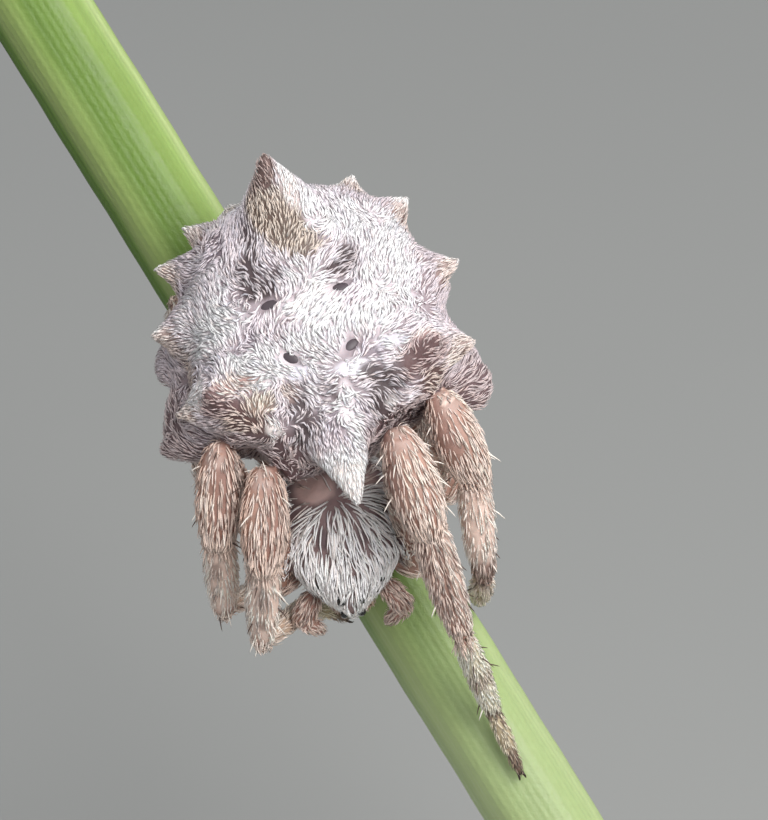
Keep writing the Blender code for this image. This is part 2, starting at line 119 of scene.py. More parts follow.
# Lumps drawn out of the abdomen: a foot on it, the tip it is drawn to, its foot radius, its sharpness
Lump = namedtuple("Lump", "foot tip radius sharpness")
PAIRED_LUMPS = {
    "shoulder": Lump((2.25, 1.65, 1.35), (2.55, 1.84, 1.64), 1.40, 1.2),
    "knee hollow": Lump((1.45, 2.95, -0.30), (1.35, 2.45, -0.20), 1.40, 1.0),
    "inner shoulder bump": Lump((2.60, 1.75, 1.65), (2.75, 1.85, 2.02), 0.60, 1.2),
    "outer shoulder cone": Lump((3.00, 1.62, 0.88), (3.48, 1.66, 0.92), 0.80, 1.6),
    "second cone": Lump((2.95, -0.48, 0.58), (3.61, -0.50, 0.78), 0.90, 1.6),
    "swell under the second cone": Lump((2.85, -0.70, -0.60), (3.35, -0.75, -0.75), 0.80, 1.3),
    "swell under the third cone": Lump((2.30, -2.20, -0.60), (2.65, -2.35, -0.75), 0.70, 1.3),
    "front ridge bump": Lump((1.35, 2.60, 1.05), (1.42, 2.75, 1.32), 0.50, 1.1),
}
SINGLE_LUMPS = {
    "right flank": Lump((2.95, -0.10, -0.65), (3.74, -0.10, -0.88), 1.10, 0.9),
    "right front lobe": Lump((2.90, 1.30, -0.60), (4.16, 1.60, -1.15), 1.15, 0.8),
    "left flank": Lump((-3.00, 1.30, -0.55), (-3.60, 1.55, -0.85), 1.00, 0.9),
    "right front skirt": Lump((1.20, 3.05, 0.10), (1.35, 3.50, -0.10), 0.90, 0.9),
    "left front lobe": Lump((-2.90, 1.75, -0.65), (-3.38, 2.35, -1.20), 1.15, 0.8),
    "right third cone": Lump((2.56, -2.08, 0.44), (3.22, -2.25, 0.62), 0.80, 1.6),
    "left third cone": Lump((-2.30, -2.14, 0.44), (-2.82, -2.38, 0.65), 0.78, 1.6),
    "right fourth cone": Lump((1.82, -2.80, 0.20), (2.35, -3.22, 0.33), 0.72, 1.6),
    "left fourth cone": Lump((-1.42, -2.95, 0.24), (-1.74, -3.42, 0.42), 0.68, 1.6),
    "right rear cone": Lump((1.02, -3.08, 0.30), (1.24, -3.42, 0.42), 0.60, 1.4),
    "left rear cone": Lump((-0.70, -3.12, 0.30), (-0.84, -3.34, 0.40), 0.50, 1.4),
    "peak swell": Lump((0.00, -1.90, 1.80), (0.05, -2.40, 2.45), 1.60, 1.1),
    "posterior peak": Lump((0.05, -2.45, 2.38), (0.12, -3.05, 3.23), 1.10, 1.10),
    "front swell": Lump((0.00, 2.60, 1.25), (0.00, 3.30, 1.30), 1.20, 1.2),
    "anterior tubercle": Lump((0.00, 3.35, 1.20), (-0.06, 4.84, 0.92), 0.90, 1.3),
    "low rear tubercle": Lump((0.00, -3.30, -0.40), (0.00, -3.85, -0.45), 0.70, 1.3),
}

# Eyes: bearing from straight ahead, elevation, radius
Eye = namedtuple("Eye", "name bearing elevation radius")
EYES = (
    Eye("anterior_median", 20.0, 10.0, 0.10),
    Eye("posterior_median", 23.0, 34.0, 0.11),
    Eye("anterior_lateral", 47.0, 10.0, 0.08),
    Eye("posterior_lateral", 52.0, 26.0, 0.08),
)
EYE_SUNK = 0.35

# Mouthparts in the prosoma's frame, for the right side
CHELICERA_TOP = (0.31, 1.38, -0.35)
CHELICERA_TIP = (0.31, 1.62, -1.15)
CHELICERA_RADII = (0.26, 0.22)
FANG_TIP = (0.16, 1.50, -1.55)
FANG_RADII = (0.13, 0.08)
PALP_JOINTS = ((0.80, 1.20, -0.50), (1.04, 1.58, -0.46), (1.18, 1.80, -0.58), (0.80, 2.06, -0.96))
PALP_RADII = (0.24, 0.30, 0.27, 0.19)
PEDICEL_RADIUS = 0.30
PEDICEL_FROM = (0.0, -1.60, 0.05)
PEDICEL_TO = (0.0, 1.75, -1.20)
SPINNERET_PLACE = Vector((0.0, -1.90, -1.60))
SPINNERET_MOUND_RADIUS = 0.34
SPINNERET_COUNT = 4
SPINNERET_RING = 0.24
SPINNERET_LENGTH = 0.62
SPINNERET_SPLAY = 0.12
SPINNERET_REARWARD = 0.25
SPINNERET_RADII = (0.22, 0.11)

# Legs, as in the solids: knee, far ends of patella and tibia, and the heel and tip set on the stem
ROOT_RING = (0.95, 1.35)
ROOT_RING_DROP = 0.50
ROOT_REACH = 0.80
ROOT_BEARINGS = (64.0, 88.0, 112.0, 138.0)
TIP_GAP = 0.1
Leg = namedtuple("Leg", "side row girth knee shin ankle heel tip")
LEGS = (
    Leg("left", 1, 1.06, (1.82, -0.98, 5.65), (2.40, -2.72, 5.45), (3.20, -5.25, 3.90),
        (7.10, 11, 0.58), (8.60, 5)),
    Leg("left", 2, 0.98, (2.78, -0.12, 5.25), (3.44, -1.58, 4.70), (3.74, -4.00, 3.15),
        (4.70, 56, 0.54), (4.60, 98)),
    Leg("left", 3, 0.74, (2.90, -2.10, 2.15), (3.25, -1.15, 2.10), (2.60, -0.15, 1.60),
        (0.05, 60, 0.75), (-0.60, 80)),
    Leg("left", 4, 0.82, (2.90, 0.00, 2.55), (3.05, 0.95, 2.15), (2.00, 1.90, 1.35),
        (-2.25, 62, 0.80), (-2.80, 80)),
    Leg("right", 1, 0.98, (-1.22, -1.84, 5.45), (-1.25, -3.55, 5.30), (-1.32, -5.50, 3.25),
        (2.70, -62, 1.10), (3.50, -84)),
    Leg("right", 2, 0.95, (-2.24, -1.28, 5.15), (-2.28, -3.00, 4.70), (-2.19, -4.80, 2.80),
        (1.80, -56, 1.05), (2.00, -84)),
    Leg("right", 3, 0.74, (-2.15, -2.30, 2.55), (-2.65, -1.40, 2.05), (-2.80, -0.25, 1.40),
        (-1.45, -62, 0.45), (-1.20, -100)),
    Leg("right", 4, 0.82, (-2.35, 0.05, 1.80), (-3.00, 0.90, 1.72), (-3.30, 2.20, 1.32),
        (-4.10, -60, 0.46), (-3.40, -100)),
)
THINNEST_JOINT = 0.25
SEGMENTS = ("coxa", "femur", "patella", "tibia", "metatarsus", "tarsus")
SEGMENT_RADII = ((0.22, 0.35), (0.36, 0.50), (0.57, 0.58), (0.48, 0.38), (0.32, 0.27), (0.25, 0.14))
SEGMENT_FULLNESS = 0.55
SEGMENT_DOME = 0.75

# How far the skin lies inside the solids, to leave room for the coat, and how finely it is merged
BODY_INSET = 0.07
LIMB_INSET = 0.05
PALP_INSET = 0.035
JAW_INSET = 0.03
FANG_INSET = 0.02
SPINNERET_INSET = 0.03
SKIN_VOXEL = 0.0665
SMOOTHING_ROUNDS = 3
SMOOTHING_STEPS = (0.55, -0.56)

# The skin's fine relief on each kind of form: its height, the size of its features and its seed
RELIEF = {"abdomen": (0.040, 0.55, 3), "prosoma": (0.018, 0.35, 5), "leg": (0.012, 0.30, 7)}
SIGILLA_DENT = 0.08
SIGILLA_DENT_REACH = (0.5, 1.8)
SIGILLA_BARE_REACH = (1.10, 1.30)
SIGILLA_HALF_DEPTH = 0.045
SIGILLA_THICKNESS = 0.6
CREASE_SEGMENTS = ("tibia", "metatarsus")
CREASE_SHARE = 0.04
CREASE_WIDTH = 0.08
CREASE_DEPTH = 0.11
BARE_DARK_BARENESS = 0.75

# Where the tubercles' tips are drawn out again: how near the solids' tips, and from how far round them
TIP_INSET = 0.03
TIP_REACH = {"anterior tubercle": 0.95, "posterior peak": 0.75}
CONE_REACH = 0.42
TIP_SHARPNESS = 1.0
CONE_SHARPNESS = 1.5

# The lie of the coat: its swirls on the abdomen as weight, size and seed, the pull of the tubercles' tips and
# how far it reaches, and how much the hairs lean together in locks
SWIRLS = ((0.70, 1.0, 71), (0.50, 0.45, 73))
TIP_PULL = 3.2
TIP_PULL_REACH = {"anterior tubercle": 2.0, "posterior peak": 1.3}
CONE_PULL_REACH = 0.75
HEAD_SWIRL = 0.30
LIMB_SWIRL = 0.08
LOCKS = 0.34
LOCK_SIZE = 0.20
LIMB_LOCK_SHARE = 0.3

# Coat: most triangles that one piece holds, rings of short and of long hairs, the length that parts them
PIECE_TRIANGLES = 190000
SHORT_RINGS = 2
LONG_RINGS = 5
LONG_HAIR = 0.42
TUFT_PATCH = 0.003

# The hairs of the legs stand in rows: how many there are, and the density between them and on them
LEG_ROWS = 20
ROW_GROUND = 0.15
ROW_CREST = 2.2

# The underside's thinner coat: its share of the density, and how far down a face looks there
UNDERSIDE_SHARE = 0.6
UNDERSIDE_TURN = -0.3

# A hair's lie over the skin: root depth, least clearance, and how its lift grows from root to tip
ROOT_DEPTH = 0.02
HAIR_CLEARANCE = 0.012
LIFT_GAIN = 1.6
LIFT_CURVE = 1.3
LEG_UNRULINESS = 0.09
BODY_UNRULINESS = 0.16

# Hairs differ: spread of length, tone, warmth and roll, and the share of dark ones among those not pale
LENGTH_SPREAD = 0.18
TONE_SPREAD = 0.09
WARMTH_SPREAD = 0.02
ROLL_SPREAD = 0.35
DARK_SHARE = 0.06
DARK_TONE = 0.55
PALE_FROM = 0.75

# A hair's width along it from root to tip as shares of its full width, its ridge's height, its painted shade
SHORT_PROFILE = (0.72, 1.00)
LONG_PROFILE = (0.60, 0.95, 1.00, 0.88, 0.60)
RIDGE_HEIGHT = 0.75
# Painted shade: hairs darker at the root, where the coat shades them, and lighter towards the tip
ROOT_PAINTED_SHADE = 0.74
TIP_BRIGHTENING = 0.32
BRIGHTENING_CURVE = 0.7

# The coat's unwrap: the limbs' strips lie above the bodies' squares, in rows for the segments
STRIPS_FROM = 0.64
STRIP_ROWS = 7.0
STRIP_FILL = 0.96
STRIPS_OF_LEGS = 8.0
STRIPS_OF_SMALL_LIMBS = 16.0
PATCH_RINGS = 40
PATCH_MARGIN = 0.12

# Claws: the places of a claw's path from its root as steps onward, aside and inward, and its radii
CLAW_PATH = ((0.0, 0.0, 0.0), (0.09, 0.02, -0.01), (0.16, 0.03, 0.01), (0.19, 0.03, 0.05))
CLAW_RADII = (0.035, 0.030, 0.018)
CLAW_ASIDE = 0.045
CLAW_DEPTH = 0.02

# Bristles: the places of a bristle's path as shares of its length and as bend along the coat, and its radii
BRISTLE_COUNT = 300
BRISTLE_LENGTH = (0.22, 0.46)
BRISTLE_LEAN = (0.5, 1.3)
BRISTLE_PATH = ((0.0, 0.0), (0.5, 0.0), (0.85, 0.03), (1.0, 0.06))
BRISTLE_RADII = (0.020, 0.017, 0.010)
BRISTLE_DEPTH = 0.03

# The stem's cut ends, ring by ring: how far in from the end, and the share of the full radius
STEM_RIM = ((0.0, 0.25), (0.0, 0.55), (0.0, 0.80), (0.0, 0.955), (0.012, 0.985), (0.05, 1.0))
STEM_SIDES = 144
STEM_RINGS = 220
STEM_INSET = 0.026

# The stem's green round it: degrees from its top towards the right, and the colour there
STEM_BANDS = (
    (-180.0, (92, 122, 48)),
    (-100.0, (76, 108, 34)),
    (-68.0, (88, 122, 38)),
    (-52.0, (146, 166, 98)),
    (-26.0, (138, 160, 90)),
    (-10.0, (98, 128, 46)),
    (18.0, (104, 134, 50)),
    (34.0, (124, 150, 72)),
    (56.0, (140, 166, 90)),
    (72.0, (166, 184, 122)),
    (100.0, (148, 176, 86)),
    (130.0, (100, 130, 50)),
    (180.0, (92, 122, 48)),
)
STEM_PALE = (166, 182, 132)
STEM_PITH = (206, 212, 160)

# A rod's rings from the base up: share of its radius, and height over its foot, or None on the hollowed top
ROD_RINGS = (
    (0.30, 0.0), (0.70, 0.0), (0.92, 0.0), (1.0, 0.05),
    (1.0, None), (0.92, None), (0.6, None), (0.25, None),
)
ROD_INSET = 0.02
ROD_SIDES = 48

# Materials: how far gloss varies about its middle, and how strong the relief is
TINTED_GLOSS_SPREAD = 0.12
PLAIN_GLOSS_SPREAD = 0.06
LEAST_ROUGHNESS = 0.02
TINTED_RELIEF = 0.7
PLAIN_RELIEF = 0.6
SUBSURFACE_RADIUS = (1.0, 0.6, 0.5)
SUBSURFACE_SCALE = 0.00012

# Colours as they should look, sRGB from 0 to 255: skin, then hair; then hairs to a square millimetre,
# and the hairs' length, width and lift in mm
Zone = namedtuple("Zone", "skin hair density length width lift")
ZONES = {
    "lilac": Zone((160, 146, 152), (245, 235, 240), 205, 0.27, 0.055, 0.045),
    "white": Zone((224, 212, 217), (255, 251, 253), 235, 0.27, 0.058, 0.050),
    "dusk": Zone((74, 60, 62), (214, 204, 208), 95, 0.24, 0.046, 0.035),
    "slate": Zone((124, 113, 123), (226, 214, 223), 180, 0.25, 0.048, 0.040),
    "gold": Zone((112, 95, 86), (227, 212, 199), 165, 0.22, 0.042, 0.035),
    "fawn": Zone((146, 122, 116), (238, 222, 214), 170, 0.20, 0.042, 0.025),
    "pink": Zone((186, 152, 146), (250, 234, 228), 230, 0.24, 0.044, 0.035),
    "mauve": Zone((106, 81, 81), (212, 189, 187), 112, 0.24, 0.042, 0.030),
    "smooth": Zone((228, 223, 232), (255, 253, 255), 90, 0.22, 0.044, 0.030),
    "sand": Zone((158, 138, 126), (246, 234, 223), 200, 0.23, 0.042, 0.035),
    "umber": Zone((98, 74, 71), (235, 215, 205), 140, 0.23, 0.042, 0.035),
    "peak": Zone((112, 91, 87), (190, 168, 162), 120, 0.17, 0.036, 0.040),
    "wall": Zone((106, 84, 86), (218, 199, 198), 118, 0.28, 0.040, 0.040),
    "bare white": Zone((252, 245, 244), (255, 252, 252), 70, 0.14, 0.036, 0.010),
    "nose": Zone((255, 244, 240), (255, 249, 247), 190, 0.26, 0.036, 0.030),
    "cream": Zone((222, 206, 202), (255, 250, 248), 220, 0.20, 0.042, 0.025),
    "flank": Zone((146, 129, 133), (230, 216, 221), 190, 0.27, 0.044, 0.040),
    "belly": Zone((92, 76, 74), (172, 152, 144), 110, 0.27, 0.044, 0.040),
    "carapace": Zone((124, 101, 101), (255, 250, 250), 110, 0.66, 0.047, 0.075),
    "face": Zone((128, 106, 104), (255, 250, 248), 115, 0.36, 0.040, 0.045),
    "bare dark": Zone((92, 73, 76), (150, 130, 130), 0, 0.30, 0.040, 0.030),
    # bare brown is lighter than the skin's own colour: painted light against the abdomen's shadow over it
    "bare brown": Zone((204, 172, 166), (228, 206, 198), 12, 0.36, 0.040, 0.040),
    "sternum": Zone((96, 72, 66), (170, 146, 134), 110, 0.30, 0.042, 0.040),
    "leg": Zone((184, 148, 134), (250, 230, 218), 125, 0.40, 0.042, 0.045),
    # Painted shade for the legs' shaded sides
    "leg shade": Zone((144, 109, 98), (235, 210, 197), 120, 0.38, 0.042, 0.045),
    "warm": Zone((166, 123, 106), (228, 195, 178), 95, 0.38, 0.040, 0.040),
    "knee": Zone((184, 156, 146), (238, 218, 208), 70, 0.22, 0.036, 0.020),
    # Bare skin in painted shade
    "leg bare": Zone((160, 126, 116), (224, 198, 186), 60, 0.30, 0.038, 0.035),
    "fringe": Zone((146, 106, 92), (240, 216, 202), 170, 0.46, 0.044, 0.070),
    "leg spot": Zone((104, 78, 70), (170, 140, 128), 140, 0.28, 0.040, 0.040),
    # pale also serves as painted light on tibiae and femora that lie in shade
    "pale": Zone((232, 206, 193), (255, 241, 231), 80, 0.32, 0.038, 0.035),
    "straw": Zone((214, 204, 180), (252, 246, 230), 160, 0.26, 0.038, 0.035),
    "ring": Zone((100, 80, 68), (140, 116, 100), 180, 0.24, 0.034, 0.035),
    "tarsus": Zone((176, 160, 132), (226, 214, 190), 170, 0.20, 0.034, 0.025),
    "palp": Zone((166, 126, 114), (234, 210, 198), 170, 0.28, 0.038, 0.045),
    "jaw": Zone((118, 76, 56), (200, 170, 150), 60, 0.24, 0.036, 0.035),
    "fang": Zone((52, 30, 22), (80, 60, 50), 0, 0.10, 0.030, 0.020),
    "spinneret": Zone((112, 84, 72), (180, 156, 142), 120, 0.20, 0.036, 0.035),
    "pedicel": Zone((84, 62, 56), (140, 120, 110), 0, 0.20, 0.036, 0.020),
}
ZONE_INDEX = {name: i for i, name in enumerate(ZONES)}

# Where a mark fades, as shares of its reach
MARK_EDGE = (0.72, 1.22)

# Marks on the abdomen, in its own frame: place, reach on each axis, zone, strength
Mark = namedtuple("Mark", "place reach zone strength")
ABDOMEN_MARKS = (
    Mark((-1.90, -1.30, 1.50), (1.00, 1.00, 0.80), "white", 0.75),
    Mark((1.55, -1.95, 1.60), (0.80, 0.75, 0.60), "slate", 0.40),
    Mark((-0.26, 0.75, 2.16), (0.46, 1.10, 0.60), "white", 1.00),
    Mark((-0.10, -0.25, 2.20), (0.42, 0.40, 0.60), "white", 0.55),
    Mark((-1.95, 0.62, 1.85), (0.95, 0.45, 0.60), "white", 0.80),
    Mark((2.12, 0.20, 1.72), (0.90, 0.60, 0.60), "white", 0.90),
    Mark((-1.63, 0.04, 2.00), (0.34, 0.34, 0.40), "white", 1.00),
    Mark((1.45, 1.50, 1.98), (0.95, 0.50, 0.60), "white", 1.00),
    Mark((-1.30, 0.95, 2.05), (0.60, 0.35, 0.50), "white", 0.90),
    Mark((-2.20, -0.20, 1.75), (0.60, 0.40, 0.60), "white", 0.80),
    Mark((0.30, 0.35, 2.20), (0.40, 0.30, 0.50), "white", 0.80),
    Mark((0.35, 1.30, 2.08), (0.30, 0.25, 0.50), "white", 0.80),
    Mark((0.45, 1.85, 1.96), (0.36, 0.19, 0.40), "smooth", 1.00),
    Mark((-0.66, 1.97, 1.89), (0.42, 0.19, 0.40), "smooth", 0.95),
    Mark((-1.62, 1.58, 1.91), (0.50, 0.18, 0.40), "smooth", 0.70),
    Mark((-1.14, 1.71, 1.92), (0.35, 0.12, 0.40), "slate", 0.60),
    Mark((2.35, 0.80, 1.66), (0.30, 0.12, 0.40), "dusk", 0.70),
    Mark((2.92, 0.62, 0.75), (0.22, 0.60, 0.50), "umber", 0.80),
    Mark((0.95, -1.55, 2.20), (0.24, 0.50, 0.50), "dusk", 0.80),
    Mark((1.04, -0.85, 2.11), (0.34, 0.42, 0.50), "dusk", 0.90),
    Mark((1.18, -0.44, 2.08), (0.22, 0.32, 0.40), "dusk", 0.90),
    Mark((0.87, -0.33, 2.14), (0.40, 0.22, 0.40), "dusk", 1.00),
    Mark((0.52, -0.54, 2.20), (0.30, 0.22, 0.40), "dusk", 0.80),
    Mark((-1.15, -0.65, 2.07), (0.28, 0.32, 0.50), "dusk", 0.95),
    Mark((-0.82, -0.37, 2.15), (0.34, 0.22, 0.40), "dusk", 0.95),
    Mark((-1.19, -0.28, 2.08), (0.22, 0.20, 0.40), "dusk", 0.80),
    Mark((-0.19, 2.36, 1.79), (0.20, 0.28, 0.40), "dusk", 0.80),
    Mark((0.52, 2.33, 1.77), (0.28, 0.34, 0.40), "dusk", 0.65),
    Mark((0.72, 2.62, 1.60), (0.30, 0.30, 0.40), "dusk", 0.75),
    Mark((0.50, 2.90, 1.52), (0.24, 0.26, 0.40), "dusk", 0.65),
    Mark((0.82, 2.18, 1.79), (0.22, 0.20, 0.40), "fawn", 0.80),
    Mark((0.77, 3.06, 1.32), (0.30, 0.24, 0.40), "dusk", 0.80),
    Mark((-1.27, 2.46, 1.55), (0.36, 0.36, 0.45), "dusk", 1.00),
    Mark((-1.06, 2.17, 1.75), (0.30, 0.24, 0.40), "dusk", 0.90),
    Mark((-1.63, 2.26, 1.63), (0.30, 0.26, 0.40), "dusk", 0.85),
    Mark((-1.07, 2.77, 1.40), (0.28, 0.30, 0.40), "dusk", 1.00),
    Mark((-1.18, 2.99, 1.11), (0.26, 0.24, 0.40), "dusk", 0.80),
    Mark((-1.66, 2.78, 1.15), (0.24, 0.26, 0.35), "lilac", 0.85),
    Mark((-0.38, 2.86, 1.57), (0.20, 0.80, 0.50), "white", 1.00),
    Mark((1.99, 1.74, 1.84), (0.66, 0.26, 0.38), "pink", 1.00),
    Mark((1.58, 2.24, 1.67), (0.40, 0.28, 0.35), "sand", 1.00),
    Mark((2.46, 1.95, 1.85), (0.36, 0.28, 0.36), "mauve", 1.00),
    Mark((2.70, 2.00, 1.54), (0.34, 0.30, 0.40), "mauve", 0.90),
    Mark((2.30, 2.14, 1.60), (0.46, 0.34, 0.42), "mauve", 1.00),
    Mark((2.07, 2.42, 1.35), (0.44, 0.30, 0.35), "umber", 1.00),
    Mark((1.62, 2.60, 1.37), (0.35, 0.26, 0.35), "umber", 0.90),
    Mark((-2.45, 1.62, 1.78), (0.42, 0.18, 0.30), "pink", 0.80),
    Mark((-2.67, 1.95, 1.70), (0.55, 0.42, 0.50), "mauve", 1.00),
    Mark((-2.30, 2.10, 1.67), (0.60, 0.44, 0.46), "mauve", 1.00),
    Mark((-2.11, 1.92, 1.80), (0.48, 0.26, 0.32), "mauve", 0.80),
    Mark((-2.86, 2.03, 0.95), (0.26, 0.25, 0.35), "sand", 0.90),
    Mark((-2.40, 2.34, 1.00), (0.50, 0.30, 0.40), "umber", 1.00),
    Mark((0.00, -1.50, 2.45), (0.52, 0.64, 0.60), "gold", 1.00),
    Mark((-0.25, -1.00, 2.28), (0.42, 0.30, 0.50), "gold", 0.90),
    Mark((0.10, -2.05, 2.68), (0.34, 0.45, 0.60), "gold", 0.90),
    Mark((0.56, -2.20, 2.60), (0.40, 0.55, 0.60), "gold", 1.00),
    Mark((0.46, -1.70, 2.48), (0.30, 0.40, 0.50), "gold", 0.95),
    Mark((-0.29, -2.40, 2.72), (0.24, 0.60, 0.60), "cream", 0.90),
    Mark((-0.66, -1.88, 2.33), (0.28, 0.42, 0.50), "white", 0.95),
    Mark((-1.01, -1.53, 2.10), (0.35, 0.30, 0.50), "white", 0.95),
    Mark((0.26, -2.76, 3.02), (0.36, 0.50, 0.60), "peak", 1.00),
    Mark((0.62, -2.55, 2.72), (0.26, 0.30, 0.50), "peak", 0.80),
    Mark((0.15, -3.05, 3.15), (0.30, 0.30, 0.30), "peak", 1.00),
    Mark((1.40, 2.80, 1.30), (0.25, 0.23, 0.27), "nose", 0.90),
    # Painted light: pure white that brightens the outer shoulder's face, which lies in shade
    Mark((2.90, 1.42, 1.30), (0.42, 0.46, 0.48), "nose", 0.80),
    Mark((-1.38, 2.80, 1.30), (0.22, 0.20, 0.24), "bare white", 0.45),
    Mark((3.90, 1.50, -0.60), (1.10, 1.35, 1.10), "wall", 0.90),
    Mark((-3.40, 2.30, -0.80), (0.95, 1.10, 1.05), "wall", 0.85),
)

# Painted shade beside each cone's tip, mixed with the cones' own brown: a patch on the front face and a
# darker one under the tip; zone, place from the tip, reach
CONE_SHADE_PATCHES = (("fawn", (0.0, 0.22, 0.14), 0.42), ("umber", (0.0, 0.32, -0.20), 0.36))

# Dark spots on the tibiae and femora: share along the segment, and angle round it from its back
LEG_SPOTS = ((0.30, 0.9), (0.34, -0.9), (0.62, 0.75), (0.66, -0.8))

# Marks on the prosoma, in its own frame
PROSOMA_MARKS = (
    Mark((0.46, 0.06, 0.85), (0.16, 0.26, 0.50), "bare dark", 1.00),
    Mark((-0.45, 0.12, 0.85), (0.15, 0.22, 0.50), "bare dark", 1.00),
    # Painted light: the bare brown patches at the carapace's back, under the anterior tubercle, lightened
    # against the abdomen's shadow
    Mark((0.55, -1.12, 0.70), (0.50, 0.36, 0.60), "bare brown", 1.00),
    Mark((-0.55, -1.20, 0.70), (0.40, 0.30, 0.60), "bare brown", 0.80),
    Mark((0.95, -0.45, 0.60), (0.18, 0.30, 0.40), "bare dark", 0.35),
    Mark((-0.95, -0.40, 0.60), (0.18, 0.30, 0.40), "bare dark", 0.35),
)

# The four sigilla on the abdomen's back: place, then half length, half width and turn in degrees
Sigillum = namedtuple("Sigillum", "place half_length half_width turn")
SIGILLA = (
    Sigillum((0.63, 1.46, 2.05), 0.20, 0.12, -41),
    Sigillum((-0.79, 1.48, 2.02), 0.20, 0.12, 31),
    Sigillum((0.82, 0.05, 2.15), 0.22, 0.13, 5),
    Sigillum((-0.84, 0.05, 2.15), 0.20, 0.11, 5),
)

# The floor in metres: half its width, and how far it lies under the base
FLOOR_HALF_WIDTH = 1.2
FLOOR_DROP = 0.0001

# The lights: name, place and aim in the specimen frame, size in mm, power and colour
LIGHTS = (
    ("key", (70, 50, 150), (0, -1, 3.5), 120, 0.34, (1.0, 0.985, 0.97)),
    ("fill", (-90, -130, 80), (0, -2, 3.5), 140, 0.44, (1.0, 0.97, 0.95)),
    ("rim", (60, 150, 10), (0, 0, 3.5), 90, 0.07, (1.0, 1.0, 1.0)),
)
SKY_COLOUR = (0.95, 0.97, 1.0, 1.0)
SKY_STRENGTH = 0.54

# The camera: the photograph's view, from so far in front of the animal's back
CAMERA_TARGET = Vector((1.4545, -0.227, 3.5))
CAMERA_DISTANCE = 150.0
CAMERA_HALF_HEIGHT = 9.318


def rgb(values):
    """A colour given in sRGB from 0 to 255, as linear light."""
    share = np.array(values, dtype=float) / 255.0
    return np.where(share <= 0.04045, share / 12.92, ((share + 0.055) / 1.055) ** 2.4)


def ramp(low, high, value):
    """0 below low, 1 above high, and smooth between them, for arrays."""
    share = np.clip((value - low) / (high - low), 0.0, 1.0)
    return share * share * (3.0 - 2.0 * share)


def unit(vectors):
    """The vectors, each of length 1."""
    length = np.linalg.norm(vectors, axis=-1, keepdims=True)
    return vectors / np.maximum(length, 1e-9)


def moved(points, matrix):
    """Points taken through a 4 by 4 matrix."""
    table = np.array(matrix)
    return points @ table[:3, :3].T + table[:3, 3]


def turned(vectors, matrix):
    """Directions taken through a 4 by 4 matrix."""
    return vectors @ np.array(matrix)[:3, :3].T


def body_frame(centre, yaw, pitch):
    """A body's own frame: it faces down the stem, turned by yaw, its front raised by pitch."""
    facing = Matrix.Rotation(math.pi + yaw, 4, "Z") @ Matrix.Rotation(pitch, 4, "X")
    return Matrix.Translation(centre) @ facing


ABDOMEN_FRAME = body_frame(ABDOMEN_CENTRE, ABDOMEN_YAW, ABDOMEN_PITCH)
PROSOMA_FRAME = body_frame(PROSOMA_CENTRE, PROSOMA_YAW, PROSOMA_PITCH)
STEM_AXIS = Vector((math.sin(STEM_BEARING), -math.cos(STEM_BEARING), 0.0))
STEM_ACROSS = Vector((math.cos(STEM_BEARING), math.sin(STEM_BEARING), 0.0))
SPECIMEN = Matrix.Translation(SPECIMEN_PLACE) @ Matrix.Rotation(SPECIMEN_LEAN, 4, "X")
METRES = Matrix.Scale(MM, 4)
WORLD = METRES @ SPECIMEN


def lattice_noise(points, size, seed):
    """Smooth random values from 0 to 1 over space, with features of about the given size."""
    place = points / size + 37.7 * seed
    cell = np.floor(place).astype(np.int64)
    share = place - cell
    share = share * share * (3.0 - 2.0 * share)
    total = np.zeros(len(points))
    for corner in range(8):
        step = np.array([corner & 1, corner >> 1 & 1, corner >> 2 & 1])
        mixed = (cell + step) @ np.array([73856093, 19349663, 83492791]) + seed * 9176
        mixed = (mixed ^ (mixed >> 13)) * 1274126177
        value = ((mixed ^ (mixed >> 16)) & 0xFFFFFF) / 0xFFFFFF
        total += value * np.prod(np.where(step == 1, share, 1.0 - share), axis=1)
    return total


def cloud(points, size, seed):
    """Two sizes of noise together, from about -1 to 1."""
    mixed = 0.65 * lattice_noise(points, size, seed) + 0.35 * lattice_noise(points, size / 2.3, seed + 50)
    return (mixed - 0.5) * 2.6


def vector_noise(points, size, seed):
    """Three noises as a direction that wanders over space."""
    return np.stack([cloud(points, size, seed + axis * 7) for axis in range(3)], axis=1)


def gathered(index, vectors, count):
    """The sums of the vectors that carry the same index, for so many indices."""
    return np.stack([np.bincount(index, vectors[:, axis], count) for axis in range(3)], axis=1)


def point_normals(across, faces, count):
    """Each point's normal, from the faces round it and the normals of those."""
    return unit(sum(gathered(faces[:, corner], across, count) for corner in range(faces.shape[1])))


def triangle_normals(points, faces):
    """Each point's normal, from the triangles round it."""
    corners = points[faces]
    across = np.cross(corners[:, 1] - corners[:, 0], corners[:, 2] - corners[:, 0])
    return point_normals(across, faces, len(points))


def taken_from(bm):
    """The points and triangles of a bmesh, which is freed."""
    bm.verts.index_update()
    points = np.array([tuple(vert.co) for vert in bm.verts])
    faces = np.array([[vert.index for vert in face.verts] for face in bm.faces])
    bm.free()
    return points, faces


def even_ball(subdivisions):
    """Points and triangles of an even ball of radius 1."""
    bm = bmesh.new()
    bmesh.ops.create_icosphere(bm, subdivisions=subdivisions, radius=1.0)
    return taken_from(bm)


def tube(first, rows, last):
    """A closed tube through rows of points, with one point at each end: its points and triangles."""
    sides = len(rows[0])
    end = len(rows) * sides + 1
    j = np.arange(sides)
    k = (j + 1) % sides
    corners = [(0 * j, 1 + k, 1 + j), (0 * j + end, end - sides + j, end - sides + k)]
    for low in range(1, end - sides, sides):
        high = low + sides
        corners += [(low + j, low + k, high + k), (low + j, high + k, high + j)]
    faces = np.concatenate([np.stack(three, axis=1) for three in corners])
    return np.concatenate([[first], *rows, [last]]), faces


def squared(directions):
    """How far a squared-off ball reaches in each direction."""
    return (np.abs(directions) ** SQUARENESS).sum(axis=1) ** (-1.0 / SQUARENESS)


